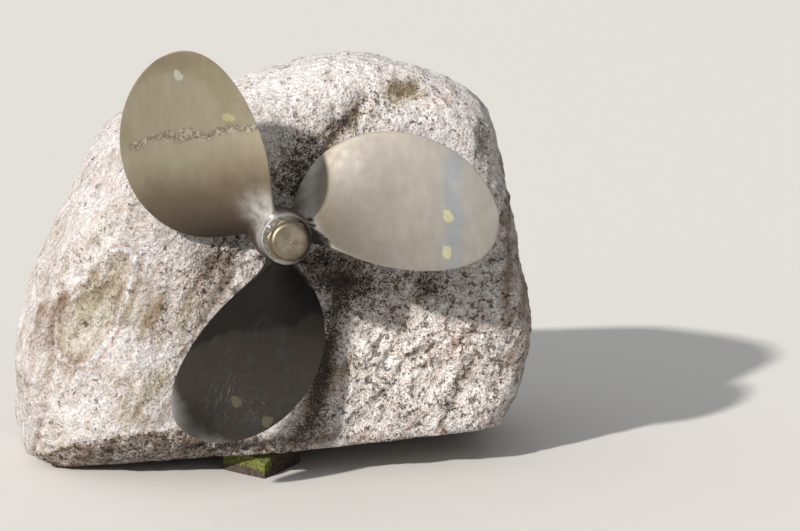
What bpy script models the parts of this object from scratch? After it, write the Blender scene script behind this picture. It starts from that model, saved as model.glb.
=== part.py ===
"""Three-bladed bronze ship propeller held on a stub shaft in the face of a granite boulder.

Metres, Z up, front towards -Y.  The shaft's axis lies in the plane X = SHAFT_X and tips up a
little towards the front.  The boulder rests on its flat rear foot and on a packing block.
"""
import math

import bmesh
import bpy
import numpy as np

# Where the shaft stands: the point on its axis midway along the blade roots.
SHAFT_X = -0.0247
SHAFT_Y = -0.3305
SHAFT_Z = 0.5520
SHAFT_TILT_DEG = 5.0

# Propeller casting.
PROPELLER_DIAMETER = 0.914
BLADE_COUNT = 3
FIRST_BLADE_DEG = 146.2
PITCH = 0.823
RAKE_RATIO = 0.036
SKEW_DEG = (10.1, 10.9)
HALF_CHORD_RATIO = (0.165, 0.700, -0.420, 0.150)
BLADE_ROOT_RADIUS = 0.0594
ROOT_BURIED_DEPTH = 0.0090
FILLET_FOOT_DEPTH = 0.0010
ROOT_THICKNESS = 0.030
TIP_THICKNESS = 0.0055
ROOT_EDGE = 0.0200
TIP_EDGE = 0.0036
ROOT_FILLET = 0.018
FILLET_CHORD_RATIO = (0.45, 0.15)
HUB_FRONT = -0.0850
HUB_REAR = 0.0774
HUB_FRONT_RADIUS = 0.0570
HUB_REAR_RADIUS = 0.0530
HUB_CROWN = 0.0020
HUB_CHAMFER = 0.0020
FACING_OVER = 0.0030
FACING_DEPTH = 0.0300
HUB_SIDES = 60
FACING_SIDES = 64

# Tapered seat of hub and shaft.
BORE_FRONT_RADIUS = 0.0340
TAPER_RATIO = 1.0 / 24.0
THREAD_RADIUS = 0.0235
THREAD_END = 0.1080
SHAFT_EMBEDDED = 0.2600
SHAFT_CHAMFER = 0.0020
SHOULDER_BACK = 0.0010
GAP = 0.0003
CUTTER_MARGIN = 0.0010

# Tab washer, nut and locking screw.
WASHER_THICKNESS = 0.0020
WASHER_RADIUS = 0.0515
TAB_WIDTH = 0.0300
TAB_HEIGHT = 0.0170
NUT_ACROSS_FLATS = 0.0800
NUT_HEIGHT = 0.0430
NUT_HEX_HEIGHT = 0.0220
NUT_FLAT_DEG = 138.0
NUT_CHAMFER_DEG = 30.0
CROWN_STEP = 0.0002
CROWN_ROUND = 0.0060
NUT_RIM = 0.0030
NUT_DISH = 0.0012
CENTRE_MARK_RADIUS = 0.0018
SCREW_ANGLE_DEG = 142.0
SCREW_CIRCLE = 0.0470
SCREW_RADIUS = 0.0025
SCREW_HEAD_RADIUS = 0.0042
SCREW_HEAD_HEIGHT = 0.0030
SCREW_DEPTH = 0.0160

# Boulder: facets that are blended into one another, each an outward direction and its distance.
BOULDER_CENTRE = (0.030, 0.400, 0.420)
BOULDER_SHARPNESS = 20
FACETS = {
    "front": ((0.000, -0.996, 0.087), 0.310),
    "front_left": ((-0.619, -0.781, 0.082), 0.464),
    "left": ((-0.967, -0.038, 0.251), 0.528),
    "upper_left": ((-0.822, -0.134, 0.554), 0.456),
    "top_left": ((-0.310, -0.093, 0.946), 0.422),
    "top": ((0.121, -0.007, 0.993), 0.515),
    "top_front": ((0.100, -0.698, 0.710), 0.482),
    "upper_right": ((0.419, -0.073, 0.905), 0.570),
    "right_front": ((0.807, -0.566, 0.166), 0.563),
    "right": ((0.974, 0.056, 0.221), 0.554),
    "low_right": ((0.931, -0.084, -0.354), 0.617),
    "right_foot": ((0.486, -0.347, -0.802), 0.618),
    "front_foot": ((-0.118, -0.783, -0.611), 0.515),
    "left_foot": ((-0.959, -0.170, -0.227), 0.640),
    "back": ((0.202, 0.969, 0.141), 0.365),
    "back_low": ((-0.251, 0.902, -0.351), 0.400),
    "back_left": ((-0.759, 0.619, 0.200), 0.465),
    "back_right": ((0.759, 0.649, -0.060), 0.520),
    "back_top": ((-0.150, 0.620, 0.770), 0.425),
    "back_top_right": ((0.449, 0.558, 0.698), 0.470),
}
# Hollows in the boulder's faces: direction from its centre, depth, and half width in radians.
HOLLOWS = {
    "above_hub": ((-0.08, -0.82, 0.50), 0.026, 0.20),
    "crown_right": ((0.33, -0.58, 0.73), 0.022, 0.17),
    "left_face": ((-0.78, -0.60, -0.10), 0.014, 0.25),
    "right_low": ((0.72, -0.62, -0.42), 0.020, 0.16),
    "bottom_right": ((0.62, -0.45, -0.64), 0.030, 0.10),
    "top": ((-0.20, 0.25, 0.95), 0.020, 0.30),
    "back_upper": ((0.35, 0.80, 0.48), 0.034, 0.24),
    "back_middle": ((-0.25, 0.95, 0.05), 0.026, 0.28),
    "back_lower": ((0.45, 0.82, -0.38), 0.030, 0.20),
    "right_side": ((0.98, 0.15, -0.05), 0.022, 0.24),
    "left_side": ((-0.93, 0.35, -0.12), 0.024, 0.22),
    "top_pocket": ((0.487, -0.424, 0.763), 0.010, 0.07),
    "edge_notch": ((0.516, -0.598, -0.613), 0.018, 0.05),
}
# Swells on the boulder's faces: direction from its centre, height, and half width in radians.
SWELLS = {
    "belly_right": ((0.76, -0.60, -0.10), 0.060, 0.22),
}
# Weathered lumps: their spacing, their height, and the number that picks their pattern.
LUMPS = {
    "broad": (0.210, 0.0110, 27),
    "middle": (0.105, 0.0085, 4),
}
LATTICE_SHIFT = 17.31
# Undercut front edge: its line as (X, Z) from the shaft's foot point, how far the face below it
# goes in for each metre down, the rounding of the edge, and where it fades out towards the
# back and the right, as Y and X from that point.
EDGE_LINE = ((-0.506, 0.037), (-0.433, 0.087), (-0.321, 0.115), (-0.227, 0.128), (-0.101, 0.109), (0.047, 0.063),
             (0.181, 0.029))
UNDERCUT_RATIO = 0.42
UNDERCUT_ROUND = 0.004
UNDERCUT_BACK = (0.2305, 0.3505)
UNDERCUT_RIGHT = (-0.0253, 0.1247)
# Underside: its height below the shaft's point, and its rise along X and along Y.
UNDERSIDE_HEIGHT = 0.0675
UNDERSIDE_RISE_RATIO = (0.0671, -0.1413)
BOULDER_BORE_RADIUS = 0.0345

# Packing block: plan corners counted from the shaft's foot point, the first one in front.
BLOCK_PLAN = ((-0.028, 0.069), (0.070, 0.187), (-0.022, 0.275), (-0.112, 0.158))
BLOCK_EDGE = 0.004
BLOCK_NOSE_HEIGHT = 0.028
BLOCK_NOSE_RATIO = 0.36


def clear_scene():
    for item in list(bpy.data.objects):
        bpy.data.objects.remove(item, do_unlink=True)


def material(name, colour, metallic, roughness):
    made = bpy.data.materials.new(name)
    made.use_nodes = True
    shader = made.node_tree.nodes["Principled BSDF"]
    shader.inputs["Base Color"].default_value = (*colour, 1.0)
    shader.inputs["Metallic"].default_value = metallic
    shader.inputs["Roughness"].default_value = roughness
    return made


def solid(name, points, faces, made_of, smooth_deg=None):
    mesh = bpy.data.meshes.new(name)
    mesh.from_pydata([tuple(p) for p in points], [], [tuple(f) for f in faces])
    mesh.validate()
    work = bmesh.new()
    work.from_mesh(mesh)
    bmesh.ops.recalc_face_normals(work, faces=work.faces)
    work.to_mesh(mesh)
    work.free()
    if made_of:
        mesh.materials.append(made_of)
    item = bpy.data.objects.new(name, mesh)
    bpy.context.collection.objects.link(item)
    if smooth_deg:
        mesh.shade_smooth()
        mesh.set_sharp_from_angle(angle=math.radians(smooth_deg))
    return item


def along_shaft(local):
    """Turn points given as (right, up, towards the front along the axis) into the part's frame."""
    local = np.asarray(local, float)
    tilt = math.radians(SHAFT_TILT_DEG)
    right = np.array((1.0, 0.0, 0.0))
    up = np.array((0.0, math.sin(tilt), math.cos(tilt)))
    out = np.array((0.0, -math.cos(tilt), math.sin(tilt)))
    foot = np.array((SHAFT_X, SHAFT_Y, SHAFT_Z))
    return foot + local[:, :1] * right + local[:, 1:2] * up + local[:, 2:] * out


def revolved(profile, sides, centre=(0.0, 0.0)):
    """Turn a closed outline of (along the axis, radius) round the axis; radius 0 gives a pole."""
    points = []
    rings = []
    for along, radius in profile:
        if radius == 0.0:
            rings.append([len(points)] * sides)
            points.append((centre[0], centre[1], along))
            continue
        rings.append(list(range(len(points), len(points) + sides)))
        for step in range(sides):
            turn = 2.0 * math.pi * step / sides
            points.append((centre[0] + radius * math.cos(turn), centre[1] + radius * math.sin(turn), along))
    faces = []
    for ring, after in zip(rings, rings[1:] + rings[:1]):
        for step in range(sides):
            follow = (step + 1) % sides
            corners = (ring[step], ring[follow], after[follow], after[step])
            face = tuple(dict.fromkeys(corners))
            if len(face) > 2:
                faces.append(face)
    return points, faces


def prism(outline, low, high):
    """Raise a flat outline of (right, up) from low to high along the axis."""
    count = len(outline)
    points = [(x, y, low) for x, y in outline] + [(x, y, high) for x, y in outline]
    faces = [tuple(reversed(range(count))), tuple(range(count, 2 * count))]
    for step in range(count):
        follow = (step + 1) % count
        faces.append((step, follow, count + follow, count + step))
    return points, faces


def combine(item, tool, operation):
    """Join or cut item with tool, then take the tool away."""
    change = item.modifiers.new(operation.lower(), "BOOLEAN")
    change.operation = operation
    change.solver = "EXACT"
    change.object = tool
    view = bpy.context.evaluated_depsgraph_get()
    result = bpy.data.meshes.new_from_object(item.evaluated_get(view))
    item.modifiers.clear()
    item.data = result
    bpy.data.objects.remove(tool, do_unlink=True)


def finish_mesh(item, smooth_deg):
    work = bmesh.new()
    work.from_mesh(item.data)
    bmesh.ops.remove_doubles(work, verts=work.verts, dist=0.00002)
    bmesh.ops.dissolve_degenerate(work, edges=work.edges, dist=0.00002)
    bmesh.ops.recalc_face_normals(work, faces=work.faces)
    work.to_mesh(item.data)
    work.free()
    item.data.shade_smooth()
    item.data.set_sharp_from_angle(angle=math.radians(smooth_deg))


def bore_radius(along):
    return BORE_FRONT_RADIUS - TAPER_RATIO * (along - HUB_FRONT)


def hub_radius(along):
    """Outside of the hub between its chamfers: a straight taper with a slight crown."""
    start = HUB_FRONT + HUB_CHAMFER
    part = np.clip((along - start) / (HUB_REAR - HUB_CHAMFER - start), 0.0, 1.0)
    return HUB_FRONT_RADIUS + (HUB_REAR_RADIUS - HUB_FRONT_RADIUS) * part + HUB_CROWN * np.sin(math.pi * part)


def blade(number, rows=22, fillet_rows=9, columns=18):
    """One blade: helical sections from inside the hub out to the tip.

    Each section's chord lies along the helix of the stated pitch, its thickness across it.  Chord,
    skew and thickness follow short formulas in the radius.  Near the hub the sections follow its
    own surface, and a quarter round whose foot lies just under that surface widens them there.
    """
    tip = PROPELLER_DIAMETER / 2.0
    length = tip - BLADE_ROOT_RADIUS
    advance = PITCH / (2.0 * math.pi)
    phase = math.radians(FIRST_BLADE_DEG - 360.0 / BLADE_COUNT * number)
    side = np.sin(np.linspace(-math.pi / 2.0, math.pi / 2.0, columns + 1))
    chord_at = np.concatenate((side, side[-2:0:-1]))
    facing = np.concatenate((np.ones(columns + 1), -np.ones(columns - 1)))
    edge = np.sqrt(1.0 - chord_at ** 8)
    body = 1.0 - chord_at ** 2
    share = np.where(facing > 0, 0.35, 0.65)
    c0, c1, c2, c3 = HALF_CHORD_RATIO
    turns = np.linspace(0.0, math.pi / 2.0, fillet_rows + 1)
    heights = np.concatenate(((-ROOT_BURIED_DEPTH,), ROOT_FILLET * (1.0 - np.cos(turns)) - FILLET_FOOT_DEPTH))
    root_advance = advance * chord_at * tip * c0 / math.hypot(HUB_FRONT_RADIUS, advance)
    near = hub_radius(-root_advance) + heights[:, None]
    clear = float(near[-1].max()) + FILLET_FOOT_DEPTH
    turns = np.linspace(math.asin((clear - BLADE_ROOT_RADIUS) / length), math.pi / 2.0, rows + 1)[:-1]
    far = (BLADE_ROOT_RADIUS + length * np.sin(turns))[:, None] * np.ones(len(chord_at))
    radius = np.concatenate((near, far))
    above = np.concatenate((heights, np.full(rows, ROOT_FILLET)))[:, None] + FILLET_FOOT_DEPTH
    above = np.clip(above, 0.0, ROOT_FILLET)
    fillet = ROOT_FILLET - np.sqrt(ROOT_FILLET ** 2 - (ROOT_FILLET - above) ** 2)
    x = np.maximum(radius - BLADE_ROOT_RADIUS, 0.0) / length
    half = tip * np.sqrt(1.0 - x * x) * (c0 + c1 * x + c2 * x * x + c3 * x ** 3)
    skew = np.radians(SKEW_DEG[0] * x + SKEW_DEG[1] * x * x)
    helix = np.arctan2(PITCH, 2.0 * math.pi * radius)
    middle = TIP_THICKNESS + (ROOT_THICKNESS - TIP_THICKNESS) * (1.0 - x) ** 1.3
    rim = TIP_EDGE + (ROOT_EDGE - TIP_EDGE) * (1.0 - x) ** 2.5
    along_chord = chord_at * (half + fillet * (FILLET_CHORD_RATIO[0] + FILLET_CHORD_RATIO[1] * chord_at))
    lead = along_chord * np.cos(helix) / radius - skew
    across = facing * ((rim * edge + (middle - rim) * body) * share + fillet * edge)
    angle = phase + lead + across * np.sin(helix) / radius
    along = RAKE_RATIO * length * x - advance * lead + across * np.cos(helix)
    grid = np.stack((radius * np.cos(angle), radius * np.sin(angle), along), axis=-1)
    inner = HUB_FRONT_RADIUS - ROOT_BURIED_DEPTH
    skew = math.radians(sum(SKEW_DEG))
    poles = [(inner * math.cos(phase), inner * math.sin(phase), 0.0),
             (tip * math.cos(phase - skew), tip * math.sin(phase - skew), advance * skew + RAKE_RATIO * length)]
    loop = len(chord_at)
    last = (len(grid) - 1) * loop
    root_pole = len(grid) * loop
    faces = []
    for step in range(loop):
        follow = (step + 1) % loop
        faces.append((root_pole, follow, step))
        for row in range(len(grid) - 1):
            faces.append((row * loop + step, row * loop + follow,
                          (row + 1) * loop + follow, (row + 1) * loop + step))
        faces.append((last + step, last + follow, root_pole + 1))
    return np.concatenate((grid.reshape(-1, 3), poles)), faces


def facing_tool(end, radius, outward):
    """Turned ring that faces one end of the hub, cuts its chamfer and clears the blade roots beside it.

    It has a few more sides than the hub, so that its edges cross the hub's instead of lying on them.
    """
    past = HUB_CHAMFER + CUTTER_MARGIN
    inner = bore_radius(end) - FACING_OVER
    cut = [(end, inner), (end, radius - HUB_CHAMFER), (end - outward * past, radius + CUTTER_MARGIN),
           (end, radius + FACING_OVER), (end + outward * FACING_DEPTH, radius + FACING_OVER),
           (end + outward * FACING_DEPTH, inner)]
    return revolved(cut, FACING_SIDES)


def propeller_casting(bronze):
    """Hub with its tapered bore and three blades, cast in one piece and machined at both ends."""
    raw = np.linspace(HUB_FRONT - FACING_OVER, HUB_REAR + FACING_OVER, 10)
    outline = [(along, float(hub_radius(along))) for along in raw]
    outline += [(raw[-1], bore_radius(raw[-1])), (raw[0], bore_radius(raw[0]))]
    points, faces = revolved(outline, HUB_SIDES)
    item = solid("propeller_casting", along_shaft(points), faces, bronze)
    for number in range(BLADE_COUNT):
        points, faces = blade(number)
        combine(item, solid("blade_tool", along_shaft(points), faces, bronze), "UNION")
    for end, radius, outward in ((HUB_REAR, HUB_REAR_RADIUS, 1.0), (HUB_FRONT, HUB_FRONT_RADIUS, -1.0)):
        points, faces = facing_tool(end, radius, outward)
        combine(item, solid("facing_tool", along_shaft(points), faces, bronze), "DIFFERENCE")
    turn = math.radians(SCREW_ANGLE_DEG)
    spot = (SCREW_CIRCLE * math.cos(turn), SCREW_CIRCLE * math.sin(turn))
    hole = SCREW_RADIUS + GAP
    bottom = HUB_REAR - SCREW_DEPTH - CUTTER_MARGIN
    top = HUB_REAR + CUTTER_MARGIN
    drill = [(bottom, 0.0), (bottom, hole), (top, hole), (top, 0.0)]
    points, faces = revolved(drill, 16, spot)
    combine(item, solid("drill_tool", along_shaft(points), faces, bronze), "DIFFERENCE")
    finish_mesh(item, 35.0)


def shaft_stub(steel):
    """Stub shaft: plain in the rock, tapered in the hub, turned down for the nut's thread."""
    start = HUB_FRONT - SHAFT_EMBEDDED
    plain = BORE_FRONT_RADIUS - GAP
    shoulder = HUB_REAR - SHOULDER_BACK
    outline = [(start, 0.0), (start, plain - SHAFT_CHAMFER), (start + SHAFT_CHAMFER, plain), (HUB_FRONT, plain),
               (shoulder, bore_radius(shoulder) - GAP), (shoulder, THREAD_RADIUS),
               (THREAD_END - SHAFT_CHAMFER, THREAD_RADIUS), (THREAD_END, THREAD_RADIUS - SHAFT_CHAMFER),
               (THREAD_END, 0.0)]
    points, faces = revolved(outline, 48)
    solid("shaft_stub", along_shaft(points), faces, steel, 35.0)


def tab_washer(steel):
    """Thin washer between hub and nut, two tabs bent up flat against the nut's sides."""
    low = HUB_REAR + GAP
    high = low + WASHER_THICKNESS
    outline = [(low, THREAD_RADIUS + GAP), (low, WASHER_RADIUS), (high, WASHER_RADIUS), (high, THREAD_RADIUS + GAP)]
    points, faces = revolved(outline, 60)
    item = solid("tab_washer", along_shaft(points), faces, steel)
    for flat_deg in (NUT_FLAT_DEG, NUT_FLAT_DEG + 120.0):
        turn = math.radians(flat_deg)
        out = np.array((math.cos(turn), math.sin(turn)))
        side = np.array((-math.sin(turn), math.cos(turn)))
        near = NUT_ACROSS_FLATS / 2.0 + GAP
        far = near + WASHER_THICKNESS
        half = TAB_WIDTH / 2.0
        plan = [near * out - half * side, far * out - half * side, far * out + half * side, near * out + half * side]
        points, faces = prism(plan, (low + high) / 2.0, high + TAB_HEIGHT)
        combine(item, solid("tab_tool", along_shaft(points), faces, steel), "UNION")
    turn = math.radians(SCREW_ANGLE_DEG)
    spot = (SCREW_CIRCLE * math.cos(turn), SCREW_CIRCLE * math.sin(turn))
    hole = SCREW_RADIUS + GAP
    bottom = low - CUTTER_MARGIN
    top = high + CUTTER_MARGIN
    drill = [(bottom, 0.0), (bottom, hole), (top, hole), (top, 0.0)]
    points, faces = revolved(drill, 16, spot)
    combine(item, solid("drill_tool", along_shaft(points), faces, steel), "DIFFERENCE")
    finish_mesh(item, 35.0)


def propeller_nut(bronze):
    """Closed nut: a chamfered hexagon, a round crown with a slightly dished face, a blind hole."""
    low = HUB_REAR + WASHER_THICKNESS + 2.0 * GAP
    high = low + NUT_HEIGHT
    corner = NUT_ACROSS_FLATS / 2.0 / math.cos(math.pi / 6.0)
    plan = []
    for step in range(6):
        turn = math.radians(NUT_FLAT_DEG + 30.0 + 60.0 * step)
        plan.append((corner * math.cos(turn), corner * math.sin(turn)))
    points, faces = prism(plan, low, high)
    item = solid("propeller_nut", along_shaft(points), faces, bronze)
    crown = NUT_ACROSS_FLATS / 2.0 - CROWN_STEP
    slope = math.tan(math.radians(NUT_CHAMFER_DEG))
    wide = corner + CUTTER_MARGIN
    step_at = low + NUT_HEX_HEIGHT
    limit = [(low - CUTTER_MARGIN, 0.0), (low - CUTTER_MARGIN, wide), (step_at - (wide - crown) * slope, wide),
             (step_at, crown)]
    for turn in np.linspace(0.0, math.pi / 2.0, 5):
        limit.append((high - CROWN_ROUND * (1.0 - math.sin(turn)), crown - CROWN_ROUND * (1.0 - math.cos(turn))))
    dished = high - NUT_DISH
    limit += [(dished, crown - CROWN_ROUND - NUT_RIM), (dished, CENTRE_MARK_RADIUS), (dished - NUT_DISH, 0.0)]
    points, faces = revolved(limit, 60)
    combine(item, solid("limit_tool", along_shaft(points), faces, bronze), "INTERSECT")
    hole = THREAD_RADIUS + GAP
    bottom = low - CUTTER_MARGIN
    top = THREAD_END + CUTTER_MARGIN
    drill = [(bottom, 0.0), (bottom, hole), (top, hole), (top, 0.0)]
    points, faces = revolved(drill, 48)
    combine(item, solid("drill_tool", along_shaft(points), faces, bronze), "DIFFERENCE")
    finish_mesh(item, 25.0)


def locking_screw(steel):
    """Round-head screw that pins the washer to the hub's end face."""
    turn = math.radians(SCREW_ANGLE_DEG)
    spot = (SCREW_CIRCLE * math.cos(turn), SCREW_CIRCLE * math.sin(turn))
    seat = HUB_REAR + WASHER_THICKNESS + 2.0 * GAP
    outline = [(HUB_REAR - SCREW_DEPTH, 0.0), (HUB_REAR - SCREW_DEPTH, SCREW_RADIUS), (seat, SCREW_RADIUS),
               (seat, SCREW_HEAD_RADIUS)]
    for step in range(1, 5):
        lift = math.pi / 2.0 * step / 5.0
        outline.append((seat + SCREW_HEAD_HEIGHT * math.sin(lift), SCREW_HEAD_RADIUS * math.cos(lift)))
    outline.append((seat + SCREW_HEAD_HEIGHT, 0.0))
    points, faces = revolved(outline, 24, spot)
    solid("locking_screw", along_shaft(points), faces, steel, 50.0)


def step_between(value, low, high):
    """Smooth step from 0 at low to 1 at high."""
    part = np.clip((value - low) / (high - low), 0.0, 1.0)
    return part * part * (3.0 - 2.0 * part)


def lattice_noise(points, spacing, pattern):
    """Smooth noise from -1 to 1: a slope at each corner of a lattice of that spacing, blended between."""
    spot = points / spacing + pattern * LATTICE_SHIFT
    cell = np.floor(spot).astype(np.int64)
    part = spot - cell
    ease = part ** 3 * (part * (part * 6.0 - 15.0) + 10.0)
    total = np.zeros(len(points))
    for corner in range(8):
        step = np.array((corner & 1, corner >> 1 & 1, corner >> 2))
        key = (cell + step) @ np.array((73856093, 19349663, 83492791)) + pattern * 2654435761
        key = (key ^ (key >> 13)) * 1274126177 & 0x7FFFFFFF
        slope = np.stack(((key & 1023), (key >> 10 & 1023), (key >> 20 & 1023)), axis=-1) / 511.5 - 1.0
        weight = np.prod(np.where(step, ease, 1.0 - ease), axis=1)
        total += weight * np.sum(slope * (part - step), axis=1)
    return total * 1.4


def boulder_reach(ways):
    """Distance from the boulder's centre to its skin: blended facets, hollows, swells, lumps, undercut."""
    normals = np.array([facet[0] for facet in FACETS.values()])
    normals = normals / np.linalg.norm(normals, axis=1)[:, None]
    pull = np.clip(ways @ normals.T, 0.0, None) / np.array([facet[1] for facet in FACETS.values()])
    reach = np.sum(pull ** BOULDER_SHARPNESS, axis=1) ** (-1.0 / BOULDER_SHARPNESS)
    for forms, sign in ((HOLLOWS, -1.0), (SWELLS, 1.0)):
        for aim, height, width in forms.values():
            turned = np.arccos(np.clip(ways @ aim / np.linalg.norm(aim), -1.0, 1.0))
            reach = reach + sign * height * np.exp(-(turned / width) ** 2)
    smooth = np.array(BOULDER_CENTRE) + ways * reach[:, None]
    for spacing, height, pattern in LUMPS.values():
        reach = reach + height * lattice_noise(smooth, spacing, pattern)
    edge = np.array(EDGE_LINE)
    below = np.clip(np.interp(smooth[:, 0], edge[:, 0], edge[:, 1]) - smooth[:, 2], 0.0, None)
    inward = UNDERCUT_RATIO * (np.sqrt(below ** 2 + UNDERCUT_ROUND ** 2) - UNDERCUT_ROUND)
    faded = (1.0 - step_between(smooth[:, 1], *UNDERCUT_BACK)) * (1.0 - step_between(smooth[:, 0], *UNDERCUT_RIGHT))
    return reach - inward * faded


def boulder(granite):
    """One mass of granite: its lumpy skin, cut flat at the rear foot and along the underside."""
    work = bmesh.new()
    bmesh.ops.create_icosphere(work, subdivisions=5, radius=1.0)
    bmesh.ops.triangulate(work, faces=work.faces)
    centre = np.array((SHAFT_X, SHAFT_Y, 0.0)) + np.array(BOULDER_CENTRE)
    ways = np.array([vert.co for vert in work.verts])
    ways = ways / np.linalg.norm(ways, axis=1)[:, None]
    for vert, place in zip(work.verts, centre + ways * boulder_reach(ways)[:, None]):
        vert.co = place
    cuts = (((0.0, 0.0, 0.0), (0.0, 0.0, -1.0)),
            ((SHAFT_X, SHAFT_Y, UNDERSIDE_HEIGHT), (*UNDERSIDE_RISE_RATIO, -1.0)))
    for point, outward in cuts:
        geometry = list(work.verts) + list(work.edges) + list(work.faces)
        cut = bmesh.ops.bisect_plane(work, geom=geometry, dist=1e-6, plane_co=point, plane_no=outward,
                                     clear_outer=True)
        rim = [part for part in cut["geom_cut"] if isinstance(part, bmesh.types.BMEdge)]
        bmesh.ops.contextual_create(work, geom=rim)
    bmesh.ops.remove_doubles(work, verts=work.verts, dist=0.0005)
    bmesh.ops.triangulate(work, faces=[face for face in work.faces if len(face.verts) > 3])
    bmesh.ops.recalc_face_normals(work, faces=work.faces)
    mesh = bpy.data.meshes.new("boulder")
    work.to_mesh(mesh)
    work.free()
    mesh.materials.append(granite)
    item = bpy.data.objects.new("boulder", mesh)
    bpy.context.collection.objects.link(item)
    bottom = HUB_FRONT - SHAFT_EMBEDDED - CUTTER_MARGIN
    drill = [(bottom, 0.0), (bottom, BOULDER_BORE_RADIUS), (0.0, BOULDER_BORE_RADIUS), (0.0, 0.0)]
    points, faces = revolved(drill, 48)
    combine(item, solid("drill_tool", along_shaft(points), faces, granite), "DIFFERENCE")
    finish_mesh(item, 30.0)


def packing_block(stone):
    """Rough wedge under the boulder's raised front edge, its nose sloping down in front."""
    corners = [np.array(corner) for corner in BLOCK_PLAN]
    nose, right, back, left = corners
    plan = [nose, nose + BLOCK_NOSE_RATIO * (right - nose)]
    for here, before, after in ((right, nose, back), (back, right, left), (left, back, nose)):
        for other in (before, after):
            along = other - here
            plan.append(here + along / np.linalg.norm(along) * BLOCK_EDGE)
    plan.append(nose + BLOCK_NOSE_RATIO * (left - nose))
    heights = [UNDERSIDE_HEIGHT + float(np.dot(UNDERSIDE_RISE_RATIO, spot)) - GAP for spot in plan]
    heights[0] = BLOCK_NOSE_HEIGHT
    total = len(plan)
    low = [(SHAFT_X + spot[0], SHAFT_Y + spot[1], 0.0) for spot in plan]
    high = [(SHAFT_X + spot[0], SHAFT_Y + spot[1], height) for spot, height in zip(plan, heights)]
    faces = [tuple(reversed(range(total))), tuple(range(total + 1, 2 * total)), (total, total + 1, 2 * total - 1)]
    for step in range(total):
        follow = (step + 1) % total
        faces.append((step, follow, total + follow, total + step))
    solid("packing_block", low + high, faces, stone)


def main():
    clear_scene()
    bronze = material("propeller_bronze", (0.30, 0.24, 0.15), 1.0, 0.38)
    nut_bronze = material("nut_bronze", (0.38, 0.29, 0.17), 1.0, 0.34)
    shaft_steel = material("shaft_steel", (0.42, 0.42, 0.42), 1.0, 0.35)
    washer_steel = material("washer_steel", (0.45, 0.45, 0.43), 1.0, 0.40)
    screw_steel = material("screw_steel", (0.62, 0.62, 0.62), 1.0, 0.25)
    granite = material("granite", (0.56, 0.50, 0.46), 0.0, 0.80)
    packing_stone = material("packing_stone", (0.22, 0.23, 0.13), 0.0, 0.90)
    propeller_casting(bronze)
    shaft_stub(shaft_steel)
    tab_washer(washer_steel)
    propeller_nut(nut_bronze)
    locking_screw(screw_steel)
    boulder(granite)
    packing_block(packing_stone)


main()
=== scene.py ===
"""Looks of a three-bladed bronze ship propeller held on a granite boulder.  Metres, Z up, front towards -Y."""
import math

import bmesh
import bpy
import numpy as np
from mathutils import Matrix, Vector


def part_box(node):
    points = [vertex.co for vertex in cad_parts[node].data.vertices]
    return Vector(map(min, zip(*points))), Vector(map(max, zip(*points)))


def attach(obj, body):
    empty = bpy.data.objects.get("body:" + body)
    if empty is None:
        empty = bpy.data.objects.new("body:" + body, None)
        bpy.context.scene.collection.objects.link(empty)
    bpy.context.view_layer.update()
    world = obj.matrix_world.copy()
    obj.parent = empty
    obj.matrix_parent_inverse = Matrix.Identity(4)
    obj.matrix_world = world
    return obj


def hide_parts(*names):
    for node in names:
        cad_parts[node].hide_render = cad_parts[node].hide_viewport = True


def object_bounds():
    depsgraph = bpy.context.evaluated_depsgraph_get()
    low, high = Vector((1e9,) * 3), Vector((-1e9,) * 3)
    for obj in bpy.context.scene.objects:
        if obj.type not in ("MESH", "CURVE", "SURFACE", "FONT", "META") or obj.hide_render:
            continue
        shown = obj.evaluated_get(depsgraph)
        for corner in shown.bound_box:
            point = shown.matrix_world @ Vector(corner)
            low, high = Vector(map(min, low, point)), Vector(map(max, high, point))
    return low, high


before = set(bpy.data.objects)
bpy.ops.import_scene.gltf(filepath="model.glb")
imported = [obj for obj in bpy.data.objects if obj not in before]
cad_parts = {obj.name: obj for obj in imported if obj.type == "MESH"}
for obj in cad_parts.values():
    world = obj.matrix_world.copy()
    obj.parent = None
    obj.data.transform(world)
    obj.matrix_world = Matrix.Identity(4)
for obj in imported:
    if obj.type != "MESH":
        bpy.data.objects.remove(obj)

cad_low, cad_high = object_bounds()

# Studio.  A camera at the photograph's angle, a pale floor, one large soft lamp from the upper left
# in front and a dim pale surround that is a little darker on the right.
CAMERA_AT = np.array((-0.6587, -4.8315, 1.40))
CAMERA_RIGHT = np.array((0.98139519, -0.1917215, 0.01031219))
CAMERA_DOWN = np.array((-0.02769573, -0.1945095, -0.98050956))
CAMERA_FORWARD = np.array((0.18999058, 0.96198177, -0.19620055))
FOCAL_PIXELS = 2188.0
PICTURE_PIXELS = (800.0, 531.0)
SENSOR = 36.0
LAMP_WAY = Vector((-0.677, -0.510, 0.530)).normalized()
LAMP_SPREAD_DEG = 2.5
LAMP_STRENGTH = 5.2
FLOOR_HALF = 40.0


def linear(code):
    """An sRGB colour written as six hex digits, as linear light with full opacity."""
    part = [int(code[at:at + 2], 16) / 255.0 for at in (0, 2, 4)]
    return tuple(v / 12.92 if v <= 0.04045 else ((v + 0.055) / 1.055) ** 2.4 for v in part) + (1.0,)


def add(kind, inputs=(), stops=None, **settings):
    """Add a node to the open tree, with its inputs by name or in their order, and the stops of its ramp.

    An input takes a value, an output, or a node for the first output that the node has in use.
    """
    made = tree.nodes.new("ShaderNode" + kind)
    for name, value in settings.items():
        setattr(made, name, value)
    for name, value in inputs.items() if isinstance(inputs, dict) else enumerate(inputs):
        if isinstance(value, bpy.types.Node):
            value = next(output for output in value.outputs if output.enabled)
        if isinstance(value, bpy.types.NodeSocket):
            tree.links.new(value, made.inputs[name])
        else:
            made.inputs[name].default_value = value
    if stops:
        ramp = made.color_ramp.elements
        while len(ramp) < len(stops):
            ramp.new(1.0)
        for element, (place, code) in zip(ramp, stops):
            element.position = place
            element.color = linear(code)
    return made


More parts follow.
